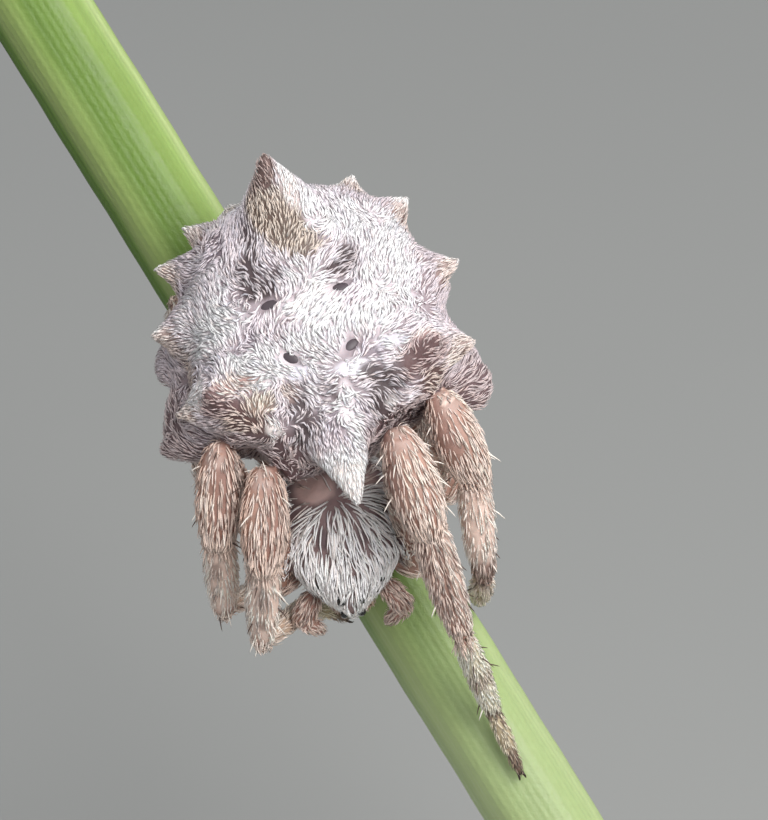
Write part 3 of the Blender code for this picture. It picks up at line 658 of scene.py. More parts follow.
def shield(ball):
    """Points of a ball drawn to the abdomen's plain shield."""
    reach = squared(ball)
    forward = ball[:, 1] * reach
    depth = np.where(ball[:, 2] > 0.0, ABDOMEN_BACK_RISE, ABDOMEN_BELLY_DROP)
    width = ABDOMEN_HALF_WIDTH * (1.0 + ABDOMEN_TAPER * forward)
    sideways = ball[:, 0] * reach * width
    return np.stack([sideways, forward * ABDOMEN_HALF_LENGTH, ball[:, 2] * reach * depth], axis=1)


def lump_ends(lump, side):
    """A lump's foot and tip, mirrored where side is -1."""
    mirror = np.array([side, 1.0, 1.0])
    return np.array(lump.foot) * mirror, np.array(lump.tip) * mirror


def draw_out(sets, lump, side):
    """Draws each set of points out to a lump's tip, about the nearest point of the first set to its foot."""
    foot, tip = lump_ends(lump, side)
    guide = sets[0]
    middle = guide[np.argmin(np.linalg.norm(guide - foot, axis=1))].copy()
    for points in sets:
        share = np.linalg.norm(points - middle, axis=1) / lump.radius
        points += (tip - middle) * np.clip(1.0 - share, 0.0, None)[:, None] ** lump.sharpness


def all_lumps():
    """Every lump in the order they are drawn out: name, lump and side."""
    for lumps, sides in ((PAIRED_LUMPS, (1.0, -1.0)), (SINGLE_LUMPS, (1.0,))):
        for name, lump in lumps.items():
            for side in sides:
                yield name, lump, side


def pointed_lumps():
    """The lumps that end in a point: name, foot and tip."""
    for name, lump, side in all_lumps():
        if name.endswith(("cone", "tubercle", "peak")) and not name.startswith("swell"):
            yield name, *lump_ends(lump, side)


def abdomen_shape():
    """The abdomen's fine points and triangles in its own frame, before the inset."""
    guide = shield(even_ball(5)[0])
    ball, faces = even_ball(7)
    points = shield(ball)
    for _, lump, side in all_lumps():
        draw_out((guide, points), lump, side)
    return points, faces


def prosoma_points(directions):
    """Where the prosoma's surface lies in each direction, in its own frame."""
    reach = squared(directions)
    forward = directions[:, 1] * reach * PROSOMA_HALF_LENGTH
    width = PROSOMA_HALF_WIDTH * (1.0 - HEAD_NARROWING * ramp(HEAD_FROM, HEAD_TO, forward))
    depth = np.where(directions[:, 2] > 0.0, PROSOMA_RISE, PROSOMA_DROP)
    sideways = directions[:, 0] * reach * width
    return np.stack([sideways, forward, directions[:, 2] * reach * depth], axis=1)


def prosoma_shape():
    """The prosoma's fine points and triangles in its own frame, with the fovea's pit and the groove."""
    ball, faces = even_ball(6)
    points = prosoma_points(ball)
    near = 1.0 - np.linalg.norm(points - np.array(FOVEA_PLACE), axis=1) / FOVEA_RADIUS
    points[:, 2] -= FOVEA_DEPTH * np.clip(near, 0.0, None)
    ahead = points[:, 1] - GROOVE_FORWARD + GROOVE_SLANT * np.abs(points[:, 0])
    groove = np.exp(-(ahead / GROOVE_WIDTH) ** 2)
    points[:, 2] -= GROOVE_DEPTH * groove * (points[:, 2] > GROOVE_LEAST_HEIGHT)
    return points, faces


def spindle(start, end, radii, inset, sides=22, rings=16):
    """A limb segment's points and triangles: a full-ended spindle, as in the solids but finer."""
    axis = end - start
    angles = np.arange(sides) * math.tau / sides
    rows = []
    for i in range(rings + 1):
        height = -math.cos(math.pi * i / rings)
        share = (height + 1.0) / 2.0
        radius = radii[0] + (radii[1] - radii[0]) * share - inset
        wide = radius * math.sin(math.pi * i / rings) ** SEGMENT_FULLNESS if 0 < i < rings else 0.0
        dome = SEGMENT_DOME * (radii[0] if height < 0.0 else radii[1])
        along = axis.length * share + dome * height**3 - inset * height
        rows.append([(wide * math.cos(a), wide * math.sin(a), along) for a in angles])
    points, faces = tube(rows[0][0], rows[1:-1], rows[-1][0])
    turn = axis.to_track_quat("Z", "Y").to_matrix().to_4x4()
    return moved(points, Matrix.Translation(start) @ turn), faces


# A form is one closed shape that goes into the skin; its axis and back are for its coat and its markings
Form = namedtuple("Form", "kind limb segment start end back points faces")


def on_stem(along, round_degrees, clear):
    """A place over the stem: so far along it, so far round from its top, so far clear of its skin."""
    angle = math.radians(round_degrees)
    outward = STEM_ACROSS * math.sin(angle) + Vector((0.0, 0.0, math.cos(angle)))
    return STEM_MIDDLE + STEM_AXIS * along + outward * (STEM_RADIUS + clear)


def leg_joints(leg):
    """The seven joints of a leg, from the prosoma out to the tip on the stem."""
    bearing = math.radians(ROOT_BEARINGS[leg.row - 1])
    outward = Vector((SIDES[leg.side] * math.sin(bearing), math.cos(bearing), 0.0))
    root = Vector((outward.x * ROOT_RING[0], outward.y * ROOT_RING[1], -ROOT_RING_DROP))
    hip = root + outward * ROOT_REACH
    tip = on_stem(*leg.tip, SEGMENT_RADII[-1][1] * leg.girth + TIP_GAP)
    places = [Vector(place) for place in (leg.knee, leg.shin, leg.ankle)]
    return [PROSOMA_FRAME @ root, PROSOMA_FRAME @ hip, *places, on_stem(*leg.heel), tip]


def leg_radii(leg):
    """The start and end radius of each of a leg's segments."""
    radii = []
    for i, (start, end) in enumerate(SEGMENT_RADII):
        start = max(start * leg.girth, THINNEST_JOINT) if i else start * leg.girth
        end = end * leg.girth if i == len(SEGMENT_RADII) - 1 else max(end * leg.girth, THINNEST_JOINT)
        radii.append((start, end))
    return radii


def flesh_forms():
    """All the closed shapes that are merged into the skin, in the specimen frame."""
    ahead, above, aside = Vector((0.0, 1.0, 0.0)), Vector((0.0, 0.0, 1.0)), Vector((1.0, 0.0, 0.0))
    forms = []
    for kind, shape, own in (
        ("abdomen", abdomen_shape, ABDOMEN_FRAME),
        ("prosoma", prosoma_shape, PROSOMA_FRAME),
    ):
        points, faces = shape()
        points = points - triangle_normals(points, faces) * BODY_INSET
        forms.append(Form(kind, 0, 0, Vector(), above, aside, moved(points, own), faces))

    def limb(kind, index, segment, start, end, back, radii, inset=LIMB_INSET):
        """Adds one spindle."""
        forms.append(Form(kind, index, segment, start, end, back, *spindle(start, end, radii, inset)))

    waist = (PROSOMA_FRAME @ Vector(PEDICEL_FROM), ABDOMEN_FRAME @ Vector(PEDICEL_TO))
    limb("pedicel", 0, 0, *waist, above, (PEDICEL_RADIUS, PEDICEL_RADIUS))
    front = (PROSOMA_FRAME.to_3x3() @ ahead).normalized()
    for index, side in enumerate(SIDES.values()):
        mirror = Matrix.Diagonal((side, 1.0, 1.0, 1.0))
        top, tip, fang = (
            PROSOMA_FRAME @ mirror @ Vector(place) for place in (CHELICERA_TOP, CHELICERA_TIP, FANG_TIP)
        )
        limb("jaw", index, 0, top, tip, front, CHELICERA_RADII, JAW_INSET)
        limb("fang", index, 0, tip, fang, front, FANG_RADII, FANG_INSET)
        joints = [PROSOMA_FRAME @ mirror @ Vector(place) for place in PALP_JOINTS]
        for i in range(len(joints) - 1):
            limb("palp", index, i, joints[i], joints[i + 1], above, PALP_RADII[i : i + 2], PALP_INSET)
    for i in range(SPINNERET_COUNT):
        angle = math.tau * (i + 0.5) / SPINNERET_COUNT
        outward = Vector((math.cos(angle), math.sin(angle), 0.0))
        start = SPINNERET_PLACE + outward * SPINNERET_RING
        end = start + outward * SPINNERET_SPLAY - Vector((0.0, SPINNERET_REARWARD, SPINNERET_LENGTH))
        spin = (ABDOMEN_FRAME @ start, ABDOMEN_FRAME @ end)
        limb("spinneret", i, 0, *spin, ABDOMEN_FRAME.to_3x3() @ outward, SPINNERET_RADII, SPINNERET_INSET)
    mound, faces = even_ball(4)
    mound = mound * (SPINNERET_MOUND_RADIUS - SPINNERET_INSET) + np.array(SPINNERET_PLACE)
    place = ABDOMEN_FRAME @ SPINNERET_PLACE
    below = place - ABDOMEN_FRAME.to_3x3() @ above
    forms.append(Form("spinneret", 0, 0, place, below, aside, moved(mound, ABDOMEN_FRAME), faces))
    for index, leg in enumerate(LEGS):
        joints = leg_joints(leg)
        back = joints[2] - (joints[1] + joints[5]) / 2.0
        for i, radii in enumerate(leg_radii(leg)):
            limb("leg", index, i, joints[i], joints[i + 1], back, radii)
    return forms


def sigilla_reach(place):
    """How far each place in the abdomen's frame is from the nearest sigillum, in its own sizes."""
    nearest = np.full(len(place), 99.0)
    for spot in SIGILLA:
        away = place - np.array(spot.place)
        turn = math.radians(spot.turn)
        along = away[:, 0] * math.cos(turn) + away[:, 1] * math.sin(turn)
        over = -away[:, 0] * math.sin(turn) + away[:, 1] * math.cos(turn)
        reach = np.sqrt((along / spot.half_length) ** 2 + (over / spot.half_width) ** 2)
        nearest = np.where(np.abs(away[:, 2]) < SIGILLA_THICKNESS, np.minimum(nearest, reach), nearest)
    return nearest


def placed(name, data):
    """A new object in the scene."""
    thing = bpy.data.objects.new(name, data)
    bpy.context.scene.collection.objects.link(thing)
    return thing


def new_mesh(name, points, faces):
    """A mesh from an array of points and one of triangles or quads."""
    mesh = bpy.data.meshes.new(name)
    sides = faces.shape[1]
    mesh.vertices.add(len(points))
    mesh.vertices.foreach_set("co", np.ascontiguousarray(points, dtype=np.float32).ravel())
    mesh.loops.add(faces.size)
    mesh.loops.foreach_set("vertex_index", np.ascontiguousarray(faces, dtype=np.int32).ravel())
    mesh.polygons.add(len(faces))
    mesh.polygons.foreach_set("loop_start", np.arange(0, faces.size, sides, dtype=np.int32))
    mesh.update(calc_edges=True)
    mesh.validate()
    mesh.shade_smooth()
    return mesh


def add_piece(name, points, faces, material, slot, colours=None, matrix=WORLD, replaces=()):
    """Adds one visible piece in metres, with its point colours and its material. The slot argument is not
    used.
    """
    mesh = new_mesh(name, moved(points, matrix), faces)
    if colours is not None:
        tint = mesh.color_attributes.new("tint", "FLOAT_COLOR", "POINT")
        full = np.concatenate([colours, np.ones((len(colours), 1))], axis=1)
        tint.data.foreach_set("color", full.astype(np.float32).ravel())
    mesh.materials.append(material)
    thing = placed(name, mesh)
    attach(thing, BODY)
    if replaces:
        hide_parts(*replaces)
    return thing


def joined(shapes):
    """Several pairs of points and faces as one pair."""
    starts = np.cumsum([0] + [len(points) for points, _ in shapes[:-1]])
    points = np.concatenate([points for points, _ in shapes])
    faces = np.concatenate([faces + start for (_, faces), start in zip(shapes, starts)])
    return points, faces


def merged_skin(forms):
    """One closed skin over all the forms, as points and quads."""
    mesh = new_mesh("merging", *joined([(form.points, form.faces) for form in forms]))
    thing = placed("merging", mesh)
    remesh = thing.modifiers.new("merge", "REMESH")
    remesh.mode = "VOXEL"
    remesh.voxel_size = SKIN_VOXEL
    whole = thing.evaluated_get(bpy.context.evaluated_depsgraph_get()).to_mesh()
    skin = np.empty(len(whole.vertices) * 3, dtype=np.float32)
    whole.vertices.foreach_get("co", skin)
    quads = np.empty(len(whole.loops), dtype=np.int32)
    whole.loops.foreach_get("vertex_index", quads)
    bpy.data.objects.remove(thing)
    bpy.data.meshes.remove(mesh)
    skin = skin.reshape(-1, 3).astype(float)
    quads = quads.reshape(-1, 4)
    return evened(skin, quads), quads


def evened(points, quads):
    """The points with the voxels' steps smoothed away and the volume kept."""
    ends = np.concatenate([quads[:, [0, 1]], quads[:, [1, 2]], quads[:, [2, 3]], quads[:, [3, 0]]])
    count = np.bincount(ends[:, 0], minlength=len(points))[:, None]
    for i in range(2 * SMOOTHING_ROUNDS):
        total = gathered(ends[:, 0], points[ends[:, 1]], len(points))
        points = points + (total / np.maximum(count, 1) - points) * SMOOTHING_STEPS[i % 2]
    return points


def quad_normals(points, quads):
    """Normals of the faces and of the points of a mesh of quads."""
    across = np.cross(points[quads[:, 2]] - points[quads[:, 0]], points[quads[:, 3]] - points[quads[:, 1]])
    return unit(across), point_normals(across, quads, len(points))


def nearest_forms(points, forms):
    """For each point the index of the form whose surface lies nearest."""
    owner = np.repeat(np.arange(len(forms)), [len(form.points) for form in forms])
    tree = KDTree(len(owner))
    for index, place in enumerate(np.concatenate([form.points for form in forms]).tolist()):
        tree.insert(place, index)
    tree.balance()
    return owner[[tree.find(place)[1] for place in points.tolist()]]


class Skin:
    """The skin's points and what is known at each: its form, its own coordinates, zones and hair flow."""

    def __init__(self, forms):
        self.forms = forms
        self.points, self.quads = merged_skin(forms)
        self.form = nearest_forms(self.points, forms)
        self.kinds, self.limb, self.segment = (self.per_point(field) for field in ("kind", "limb", "segment"))
        self.sharpen_tips()
        self.place_on_limbs()
        self.shape_details()
        self.face_normals, self.normals = quad_normals(self.points, self.quads)
        self.weights = self.zone_weights()
        self.bare = np.maximum(self.bare, BARE_DARK_BARENESS * self.weights[:, ZONE_INDEX["bare dark"]])
        self.flow = self.hair_flow()

    def per_point(self, field):
        """One of the forms' fields at every point."""
        return np.array([getattr(form, field) for form in self.forms])[self.form]

    def sharpen_tips(self):
        """Draws the tubercles' tips, which merging has blunted, out to their places again."""
        place = moved(self.points, ABDOMEN_FRAME.inverted())
        for name, foot, tip in pointed_lumps():
            end = tip - (tip - foot) / np.linalg.norm(tip - foot) * TIP_INSET
            near = place[np.argmin(np.linalg.norm(place - tip, axis=1))].copy()
            reach = TIP_REACH.get(name, CONE_REACH)
            share = np.clip(1.0 - np.linalg.norm(place - near, axis=1) / reach, 0.0, None)
            place += (end - near) * share[:, None] ** (TIP_SHARPNESS if name in TIP_REACH else CONE_SHARPNESS)
        self.points = moved(place, ABDOMEN_FRAME)

    def place_on_limbs(self):
        """Share along the limb's axis and angle round it from its back."""
        starts, ends, backs = (self.per_point(field) for field in ("start", "end", "back"))
        self.axis = unit(ends - starts)
        length = np.linalg.norm(ends - starts, axis=1)
        out = self.points - starts
        self.share = (out * self.axis).sum(axis=1) / length
        backs = unit(backs - self.axis * (backs * self.axis).sum(axis=1)[:, None])
        across = np.cross(self.axis, backs)
        self.angle = np.arctan2((out * across).sum(axis=1), (out * backs).sum(axis=1))

    def own(self, kind, matrix):
        """Which points belong to a body, and all points in that body's frame."""
        return self.kinds == kind, moved(self.points, matrix.inverted())

    def shape_details(self):
        """Fine relief that the merged forms lack."""
        normals = quad_normals(self.points, self.quads)[1]
        depth = np.zeros(len(self.points))
        for kind, own in (("abdomen", ABDOMEN_FRAME), ("prosoma", PROSOMA_FRAME), ("leg", Matrix())):
            on, place = self.own(kind, own)
            height, size, seed = RELIEF[kind]
            depth[on] += height * cloud(place[on], size, seed)
        on, place = self.own("abdomen", ABDOMEN_FRAME)
        reach = sigilla_reach(place)
        depth -= on * SIGILLA_DENT * (1.0 - ramp(*SIGILLA_DENT_REACH, reach))
        self.bare = on * (1.0 - ramp(*SIGILLA_BARE_REACH, reach))
        segments = [SEGMENTS.index(name) for name in CREASE_SEGMENTS]
        bent = (self.kinds == "leg") & np.isin(self.segment, segments)
        self.crease = bent * np.exp(-(((self.share - CREASE_SHARE) / CREASE_WIDTH) ** 2))
        depth -= CREASE_DEPTH * self.crease
        self.points = self.points + normals * depth[:, None]

    def zone_weights(self):
        """How much of each zone every point carries."""
        weights = np.zeros((len(self.points), len(ZONES)))

        def paint(zone, amount):
            """Covers what is there by so much of a zone."""
            weights[:] *= 1.0 - amount[:, None]
            weights[:, ZONE_INDEX[zone]] += amount

        def paint_marks(marks, on, place, seed, rough):
            """Paints marks with ragged edges on one body."""
            wander = cloud(place, 0.42, seed) * rough
            for mark in marks:
                away = (place - np.array(mark.place)) / np.array(mark.reach)
                distance = np.sqrt((away**2).sum(axis=1)) + wander
                paint(mark.zone, on * mark.strength * (1.0 - ramp(*MARK_EDGE, distance)))

        on, place = self.own("abdomen", ABDOMEN_FRAME)
        y, z = place.T[1:]
        wander = cloud(place, 0.6, 21)
        paint("belly", on * 1.0)
        paint("flank", on * ramp(-1.3, -0.4, z + 0.15 * wander))
        paint("lilac", on * ramp(0.9, 1.5, z + 0.15 * wander))
        front = ramp(1.9, 2.4, y + 0.12 * wander) * (1.0 - ramp(0.95, 1.45, z + 0.10 * wander))
        paint("wall", on * front * 0.95)
        paint("slate", on * 0.55 * ramp(0.15, 0.75, cloud(place, 0.75, 23)) * ramp(0.4, 1.0, z))
        paint("white", on * 0.60 * ramp(0.10, 0.80, cloud(place, 0.55, 24)) * ramp(0.4, 1.0, z))
        paint_marks(ABDOMEN_MARKS, on, place, 22, 0.20)
        for name, _, tip in pointed_lumps():
            away = np.linalg.norm(place - tip, axis=1) + 0.06 * wander
            if name.endswith("cone"):
                paint("cream", on * 0.95 * (1.0 - ramp(0.40, 0.70, away)))
                # Painted shade round each cone: brown on its front face, darker under its tip
                for zone, aside, reach in CONE_SHADE_PATCHES:
                    under = np.linalg.norm(place - tip * 0.90 - np.array(aside), axis=1) + 0.08 * wander
                    paint(zone, on * 0.85 * (1.0 - ramp(0.55 * reach, 1.15 * reach, under)))
            elif name == "anterior tubercle":
                paint("white", on * (1.0 - ramp(1.25, 1.70, away)))
                paint("nose", on * (1.0 - ramp(0.85, 1.35, away)))
            if name != "posterior peak":
                paint("bare white", on * 0.85 * (1.0 - ramp(0.06, 0.16, away)))

        on, place = self.own("prosoma", PROSOMA_FRAME)
        x, y, z = place.T
        paint("sternum", on * 1.0)
        paint("carapace", on * ramp(-0.25, 0.05, z))
        paint("face", on * ramp(1.15, 1.5, y + 0.2 * np.abs(x)))
        paint_marks(PROSOMA_MARKS, on, place, 31, 0.15)

        for kind in ("palp", "jaw", "fang", "spinneret", "pedicel"):
            paint(kind, (self.kinds == kind) * 1.0)
        spots = ramp(0.35, 0.6, cloud(self.points, 0.22, 41))
        paint("leg spot", (self.kinds == "palp") * 0.8 * spots)
        self.paint_legs(paint)
        return weights

    def paint_legs(self, paint):
        """The legs' bands, bare knees, fringes and spots, with painted shade on their shaded sides and
        painted light on shaded tibiae. Angles above 0 are on the leg's right flank.
        """
        legs = (self.kinds == "leg") * 1.0
        which = np.where(legs > 0, self.limb, 0)
        right = np.array([leg.side == "right" for leg in LEGS])[which]
        first = np.array([leg.row == 1 for leg in LEGS])[which] & ~right
        second = np.array([leg.row == 2 for leg in LEGS])[which] & ~right
        wander = cloud(self.points, 0.35, 51)
        share = self.share + 0.05 * wander
        angle = self.angle + 0.20 * wander
        back = np.abs(self.angle) + 0.20 * wander

        def on(name):
            """1 on one segment of the legs, 0 elsewhere."""
            return legs * (self.segment == SEGMENTS.index(name))

        paint("leg", legs)
        # Painted shade on the legs' undersides, and on one flank of the right legs, mixed there with their
        # darker skin
        paint("leg shade", legs * 0.55 * ramp(1.7, 2.6, back))
        paint("leg shade", legs * right * 0.85 * (1.0 - ramp(-0.5, 0.3, angle)))
        paint("warm", legs * right * 0.85 * ramp(0.1, 0.7, angle) * (1.0 - ramp(2.0, 2.6, angle)))
        # Painted shade on the shaded flank of the left patellae
        paint("leg shade", on("patella") * ~right * 0.55 * ramp(0.1, 0.8, angle))
        # Bare skin with painted shade on the left patellae's shaded flank
        flank = ramp(0.35, 0.75, angle) * (1.0 - ramp(1.5, 2.0, angle))
        paint("leg bare", on("patella") * ~right * 0.85 * flank * (1.0 - ramp(0.45, 0.75, share)))
        paint("knee", on("femur") * ramp(0.90, 0.98, share) * (1.0 - ramp(0.5, 0.9, back)))
        cap = (1.0 - ramp(0.02, 0.12, share)) * (1.0 - ramp(0.40, 0.80, back))
        paint("knee", on("patella") * 0.9 * cap)
        paint("fringe", on("patella") * np.where(right, 0.95, 0.55) * ramp(0.80, 0.93, share))
        paint("warm", on("tibia") * right * 0.5 * ramp(0.1, 0.8, angle))
        paint("pale", on("tibia") * second)
        # The second left femur is pale, and painted paler still against its shade; the right tibiae, facing
        # down, get painted light
        paint("pale", on("femur") * second * 0.9)
        paint("pale", on("tibia") * right * 0.90)
        # Painted light and shade on the first left tibia: its lit side pale, its shaded side brown, and a
        # painted dark line in the groove between them
        paint("pale", on("tibia") * first * 0.65 * (1.0 - ramp(-0.45, -0.10, angle)))
        paint("leg bare", on("tibia") * first * 0.45 * ramp(0.30, 0.70, angle))
        line = np.exp(-(((angle - 0.05 - 0.5 * (share - 0.3)) / 0.16) ** 2)) * ramp(0.05, 0.2, share)
        paint("leg spot", on("tibia") * first * 0.8 * line * (1.0 - ramp(0.75, 0.9, share)))
        for centre, side_angle in LEG_SPOTS:
            for name, wide, strength in (("tibia", 0.42, np.where(second, 0.1, 0.55)), ("femur", 0.35, 0.45)):
                around = np.abs(self.angle - side_angle) / wide
                reach = np.sqrt(((share - centre) / 0.10) ** 2 + around**2)
                paint("leg spot", on(name) * strength * (1.0 - ramp(0.6, 1.2, reach)))
        paint("leg spot", 0.7 * self.crease)
        paint("leg spot", on("tibia") * second * 0.9 * ramp(0.74, 0.90, share))
        paint("fringe", on("tibia") * ~second * 0.85 * ramp(0.82, 0.95, share))
        paint("straw", on("metatarsus") * np.where(first, 1.0, 0.35))
        paint("leg spot", on("metatarsus") * 0.7 * (1.0 - ramp(0.0, 0.10, share)))
        paint("leg spot", on("metatarsus") * 0.5 * np.exp(-(((share - 0.5) / 0.06) ** 2)))
        paint("ring", on("metatarsus") * 0.95 * ramp(0.84, 0.93, share))
        paint("tarsus", on("tarsus"))
        paint("ring", on("tarsus") * 0.95 * ramp(0.45, 0.70, share))

    def hair_flow(self):
        """The lie of the coat at every point, along the skin."""
        flow = self.axis.copy()
        on, place = self.own("abdomen", ABDOMEN_FRAME)
        flow[on] = self.abdomen_flow(place[on])
        on, place = self.own("prosoma", PROSOMA_FRAME)
        flow[on] = self.prosoma_flow(place[on])
        on = np.isin(self.kinds, ("leg", "palp", "jaw", "spinneret", "pedicel", "fang"))
        flow[on] += LIMB_SWIRL * vector_noise(self.points[on], 0.5, 61)
        locks = np.where(on, LIMB_LOCK_SHARE, 1.0)[:, None] * LOCKS
        flow += locks * vector_noise(self.points, LOCK_SIZE, 65)
        flow -= self.normals * (flow * self.normals).sum(axis=1)[:, None]
        return unit(flow)

    def abdomen_flow(self, place):
        """Rearward and outward, swirling, and drawn to the tips of the tubercles."""
        flow = np.stack([place[:, 0] * 0.22, np.full(len(place), -0.45), np.zeros(len(place))], axis=1)
        flow += sum(weight * vector_noise(place, size, seed) for weight, size, seed in SWIRLS)
        for name, foot, tip in pointed_lumps():
            distance = np.linalg.norm(tip - place, axis=1)
            away = tip + (tip - foot) * 0.8 - place
            reach = TIP_PULL_REACH.get(name, CONE_PULL_REACH)
            flow += unit(away) * (TIP_PULL * np.exp(-((distance / reach) ** 2)))[:, None]
        return turned(flow, ABDOMEN_FRAME)

    def prosoma_flow(self, place):
        """Out from the fovea, bending forward over the head."""
        away = place - np.array(FOVEA_PLACE)
        away[:, 2] *= 0.3
        away = unit(away)
        head = ramp(-0.4, 1.0, place[:, 1])[:, None]
        forward = np.stack([-0.12 * place[:, 0], np.ones(len(place)), np.zeros(len(place))], axis=1)
        flow = away * (1.0 - 0.7 * head) + forward * (0.25 + 0.9 * head)
        flow += HEAD_SWIRL * vector_noise(place, 0.6, 81)
        return turned(flow, PROSOMA_FRAME)

    def colours(self):
        """The skin's colour at every point."""
        table = np.array([rgb(zone.skin) for zone in ZONES.values()])
        shade = 1.0 + 0.10 * cloud(self.points, 0.16, 91)[:, None]
        return np.clip(self.weights @ table * shade, 0.0, 1.0)


# Hairs of one kind: paths, the skin's normals along them, width, colour, and the skin's point at the root
Hairs = namedtuple("Hairs", "path normals width colour root_place")


def sprout(skin):
    """Roots for the coat, as many on each face as its zones hold: place, a point of the face, measures."""
    corners = skin.points[skin.quads]
    across = np.cross(corners[:, 2] - corners[:, 0], corners[:, 3] - corners[:, 1])
    area = np.linalg.norm(across, axis=1) / 2.0
    weights = skin.weights[skin.quads].mean(axis=1)
    table = np.array([[zone.density, zone.length, zone.width, zone.lift] for zone in ZONES.values()])
    density, length, width, lift = (weights @ table).T
    first = skin.quads[:, 0]
    legs = skin.kinds[first] == "leg"
    rows = 0.5 + 0.5 * np.cos(skin.angle[first] * LEG_ROWS)
    density = density * np.where(legs, ROW_GROUND + ROW_CREST * rows**3, 1.0)
    density = density * np.where(skin.face_normals[:, 2] < UNDERSIDE_TURN, UNDERSIDE_SHARE, 1.0)
    density = density * (1.0 - skin.bare[first])
    count = np.floor(area * density + DRAW.random(len(area))).astype(int)
    face = np.repeat(np.arange(len(area)), count)
    s, t = DRAW.random((2, len(face), 1))
    a, b, c, d = (corners[face, corner] for corner in range(4))
    roots = (a * (1.0 - s) + b * s) * (1.0 - t) + (d * (1.0 - s) + c * s) * t
    length = length[face] * DRAW.normal(1.0, LENGTH_SPREAD, len(face)).clip(0.55, 1.5)
    return roots, first[face], length, width[face], lift[face]


def laid(skin, tree, roots, length, lift, rings):
    """Each hair's path over the skin, the normals under it, and whether it stays: few do over bare places."""
    first = skin.quads[:, 0]
    flow = skin.flow[first]
    bare = skin.bare[first]
    unruly = np.where(skin.kinds[first] == "leg", LEG_UNRULINESS, BODY_UNRULINESS)
    over = np.zeros(len(roots))
    place = roots
    path = []
    normals = []
    for i in range(rings + 1):
        found = [tree.find_nearest(point) for point in place.tolist()]
        place = np.array([tuple(hit[0]) for hit in found])
        face = np.array([hit[2] for hit in found])
        normal = skin.face_normals[face]
        height = lift * (i / rings) ** LIFT_CURVE * LIFT_GAIN + (HAIR_CLEARANCE if i else -ROOT_DEPTH)
        path.append(place + normal * height[:, None])
        normals.append(normal)
        over = np.maximum(over, bare[face])
        if i == 0:
            wander = DRAW.normal(0.0, 1.0, (len(roots), 3)) * unruly[face][:, None]
        lie = unit(flow[face] + wander)
        place = place + lie * (length / rings)[:, None]
    return np.stack(path, axis=1), np.stack(normals, axis=1), over < DRAW.uniform(0.3, 1.0, len(over))


def grown_hairs(skin):
    """All hairs of the coat, short and long apart, and the tree of the skin's faces that they lie on."""
    tree = BVHTree.FromPolygons(skin.points.tolist(), skin.quads.tolist())
    roots, source, length, width, lift = sprout(skin)
    lift = lift * DRAW.uniform(0.55, 1.5, len(lift))
    table = np.array([rgb(zone.hair) for zone in ZONES.values()])
    colour = skin.weights[source] @ table
    tone = DRAW.normal(1.0, TONE_SPREAD, len(source))[:, None]
    dark = (DRAW.random(len(source)) < DARK_SHARE) & (colour.mean(axis=1) < PALE_FROM)
    tone = np.where(dark[:, None], tone * DARK_TONE, tone)
    warm = 1.0 + DRAW.normal(0.0, WARMTH_SPREAD, (len(source), 1)) * np.array([1.0, 0.0, -1.0])
    colour = np.clip(colour * tone * warm, 0.0, 1.0)
    is_long = (length > LONG_HAIR) & (skin.kinds[source] != "abdomen")
    sets = []
    for rings, in_set in ((SHORT_RINGS, ~is_long), (LONG_RINGS, is_long)):
        chosen = np.nonzero(in_set)[0]
        path, normals, clear = laid(skin, tree, roots[chosen], length[chosen], lift[chosen], rings)
        kept = chosen[clear]
        sets.append((rings, Hairs(path[clear], normals[clear], width[kept], colour[kept], source[kept])))
    return tree, sets


def blade_shares(rings):
    """How far along a blade each of its points lies, from 0 at the root to 1."""
    return np.append(np.repeat(np.arange(rings) / rings, 3), 1.0)


def blades(hairs, rings):
    """Closed three-sided blades over the hairs' paths: points, triangles, colours, one blade's triangles."""
    count = len(hairs.path)
    profile = np.array(SHORT_PROFILE if rings == SHORT_RINGS else LONG_PROFILE)
    tangent = unit(np.gradient(hairs.path, axis=1))
    side = unit(np.cross(tangent, hairs.normals))
    up = np.cross(side, tangent)
    roll = DRAW.normal(0.0, ROLL_SPREAD, (count, 1, 1))
    side, up = side * np.cos(roll) + up * np.sin(roll), up * np.cos(roll) - side * np.sin(roll)
    half = (hairs.width[:, None] * profile[None, :] / 2.0)[:, :, None]
    spine = hairs.path[:, :rings]
    left = spine - side[:, :rings] * half
    right = spine + side[:, :rings] * half
    ridge = spine + up[:, :rings] * half * RIDGE_HEIGHT
    rows = np.stack([left, right, ridge], axis=2).reshape(count, rings * 3, 3)
    points = np.concatenate([rows, hairs.path[:, -1:]], axis=1)
    sides = ((0, 1), (1, 2), (2, 0))
    template = [(0, 1, 2)]
    for low in range(0, 3 * (rings - 1), 3):
        for p, q in sides:
            a, b = low + p, low + q
            template += [(a, a + 3, b + 3), (a, b + 3, b)]
    tip = 3 * rings
    template = np.array(template + [(tip - 3 + p, tip, tip - 3 + q) for p, q in sides])
    faces = (template[None] + (np.arange(count) * (tip + 1))[:, None, None]).reshape(-1, 3)
    # Painted shade: each hair darker at its root and brighter towards its tip
    shade = ROOT_PAINTED_SHADE + TIP_BRIGHTENING * blade_shares(rings) ** BRIGHTENING_CURVE
    colours = np.clip(hairs.colour[:, None] * shade[None, :, None], 0.0, 1.0).reshape(-1, 3)
    return points.reshape(-1, 3), faces, colours, template


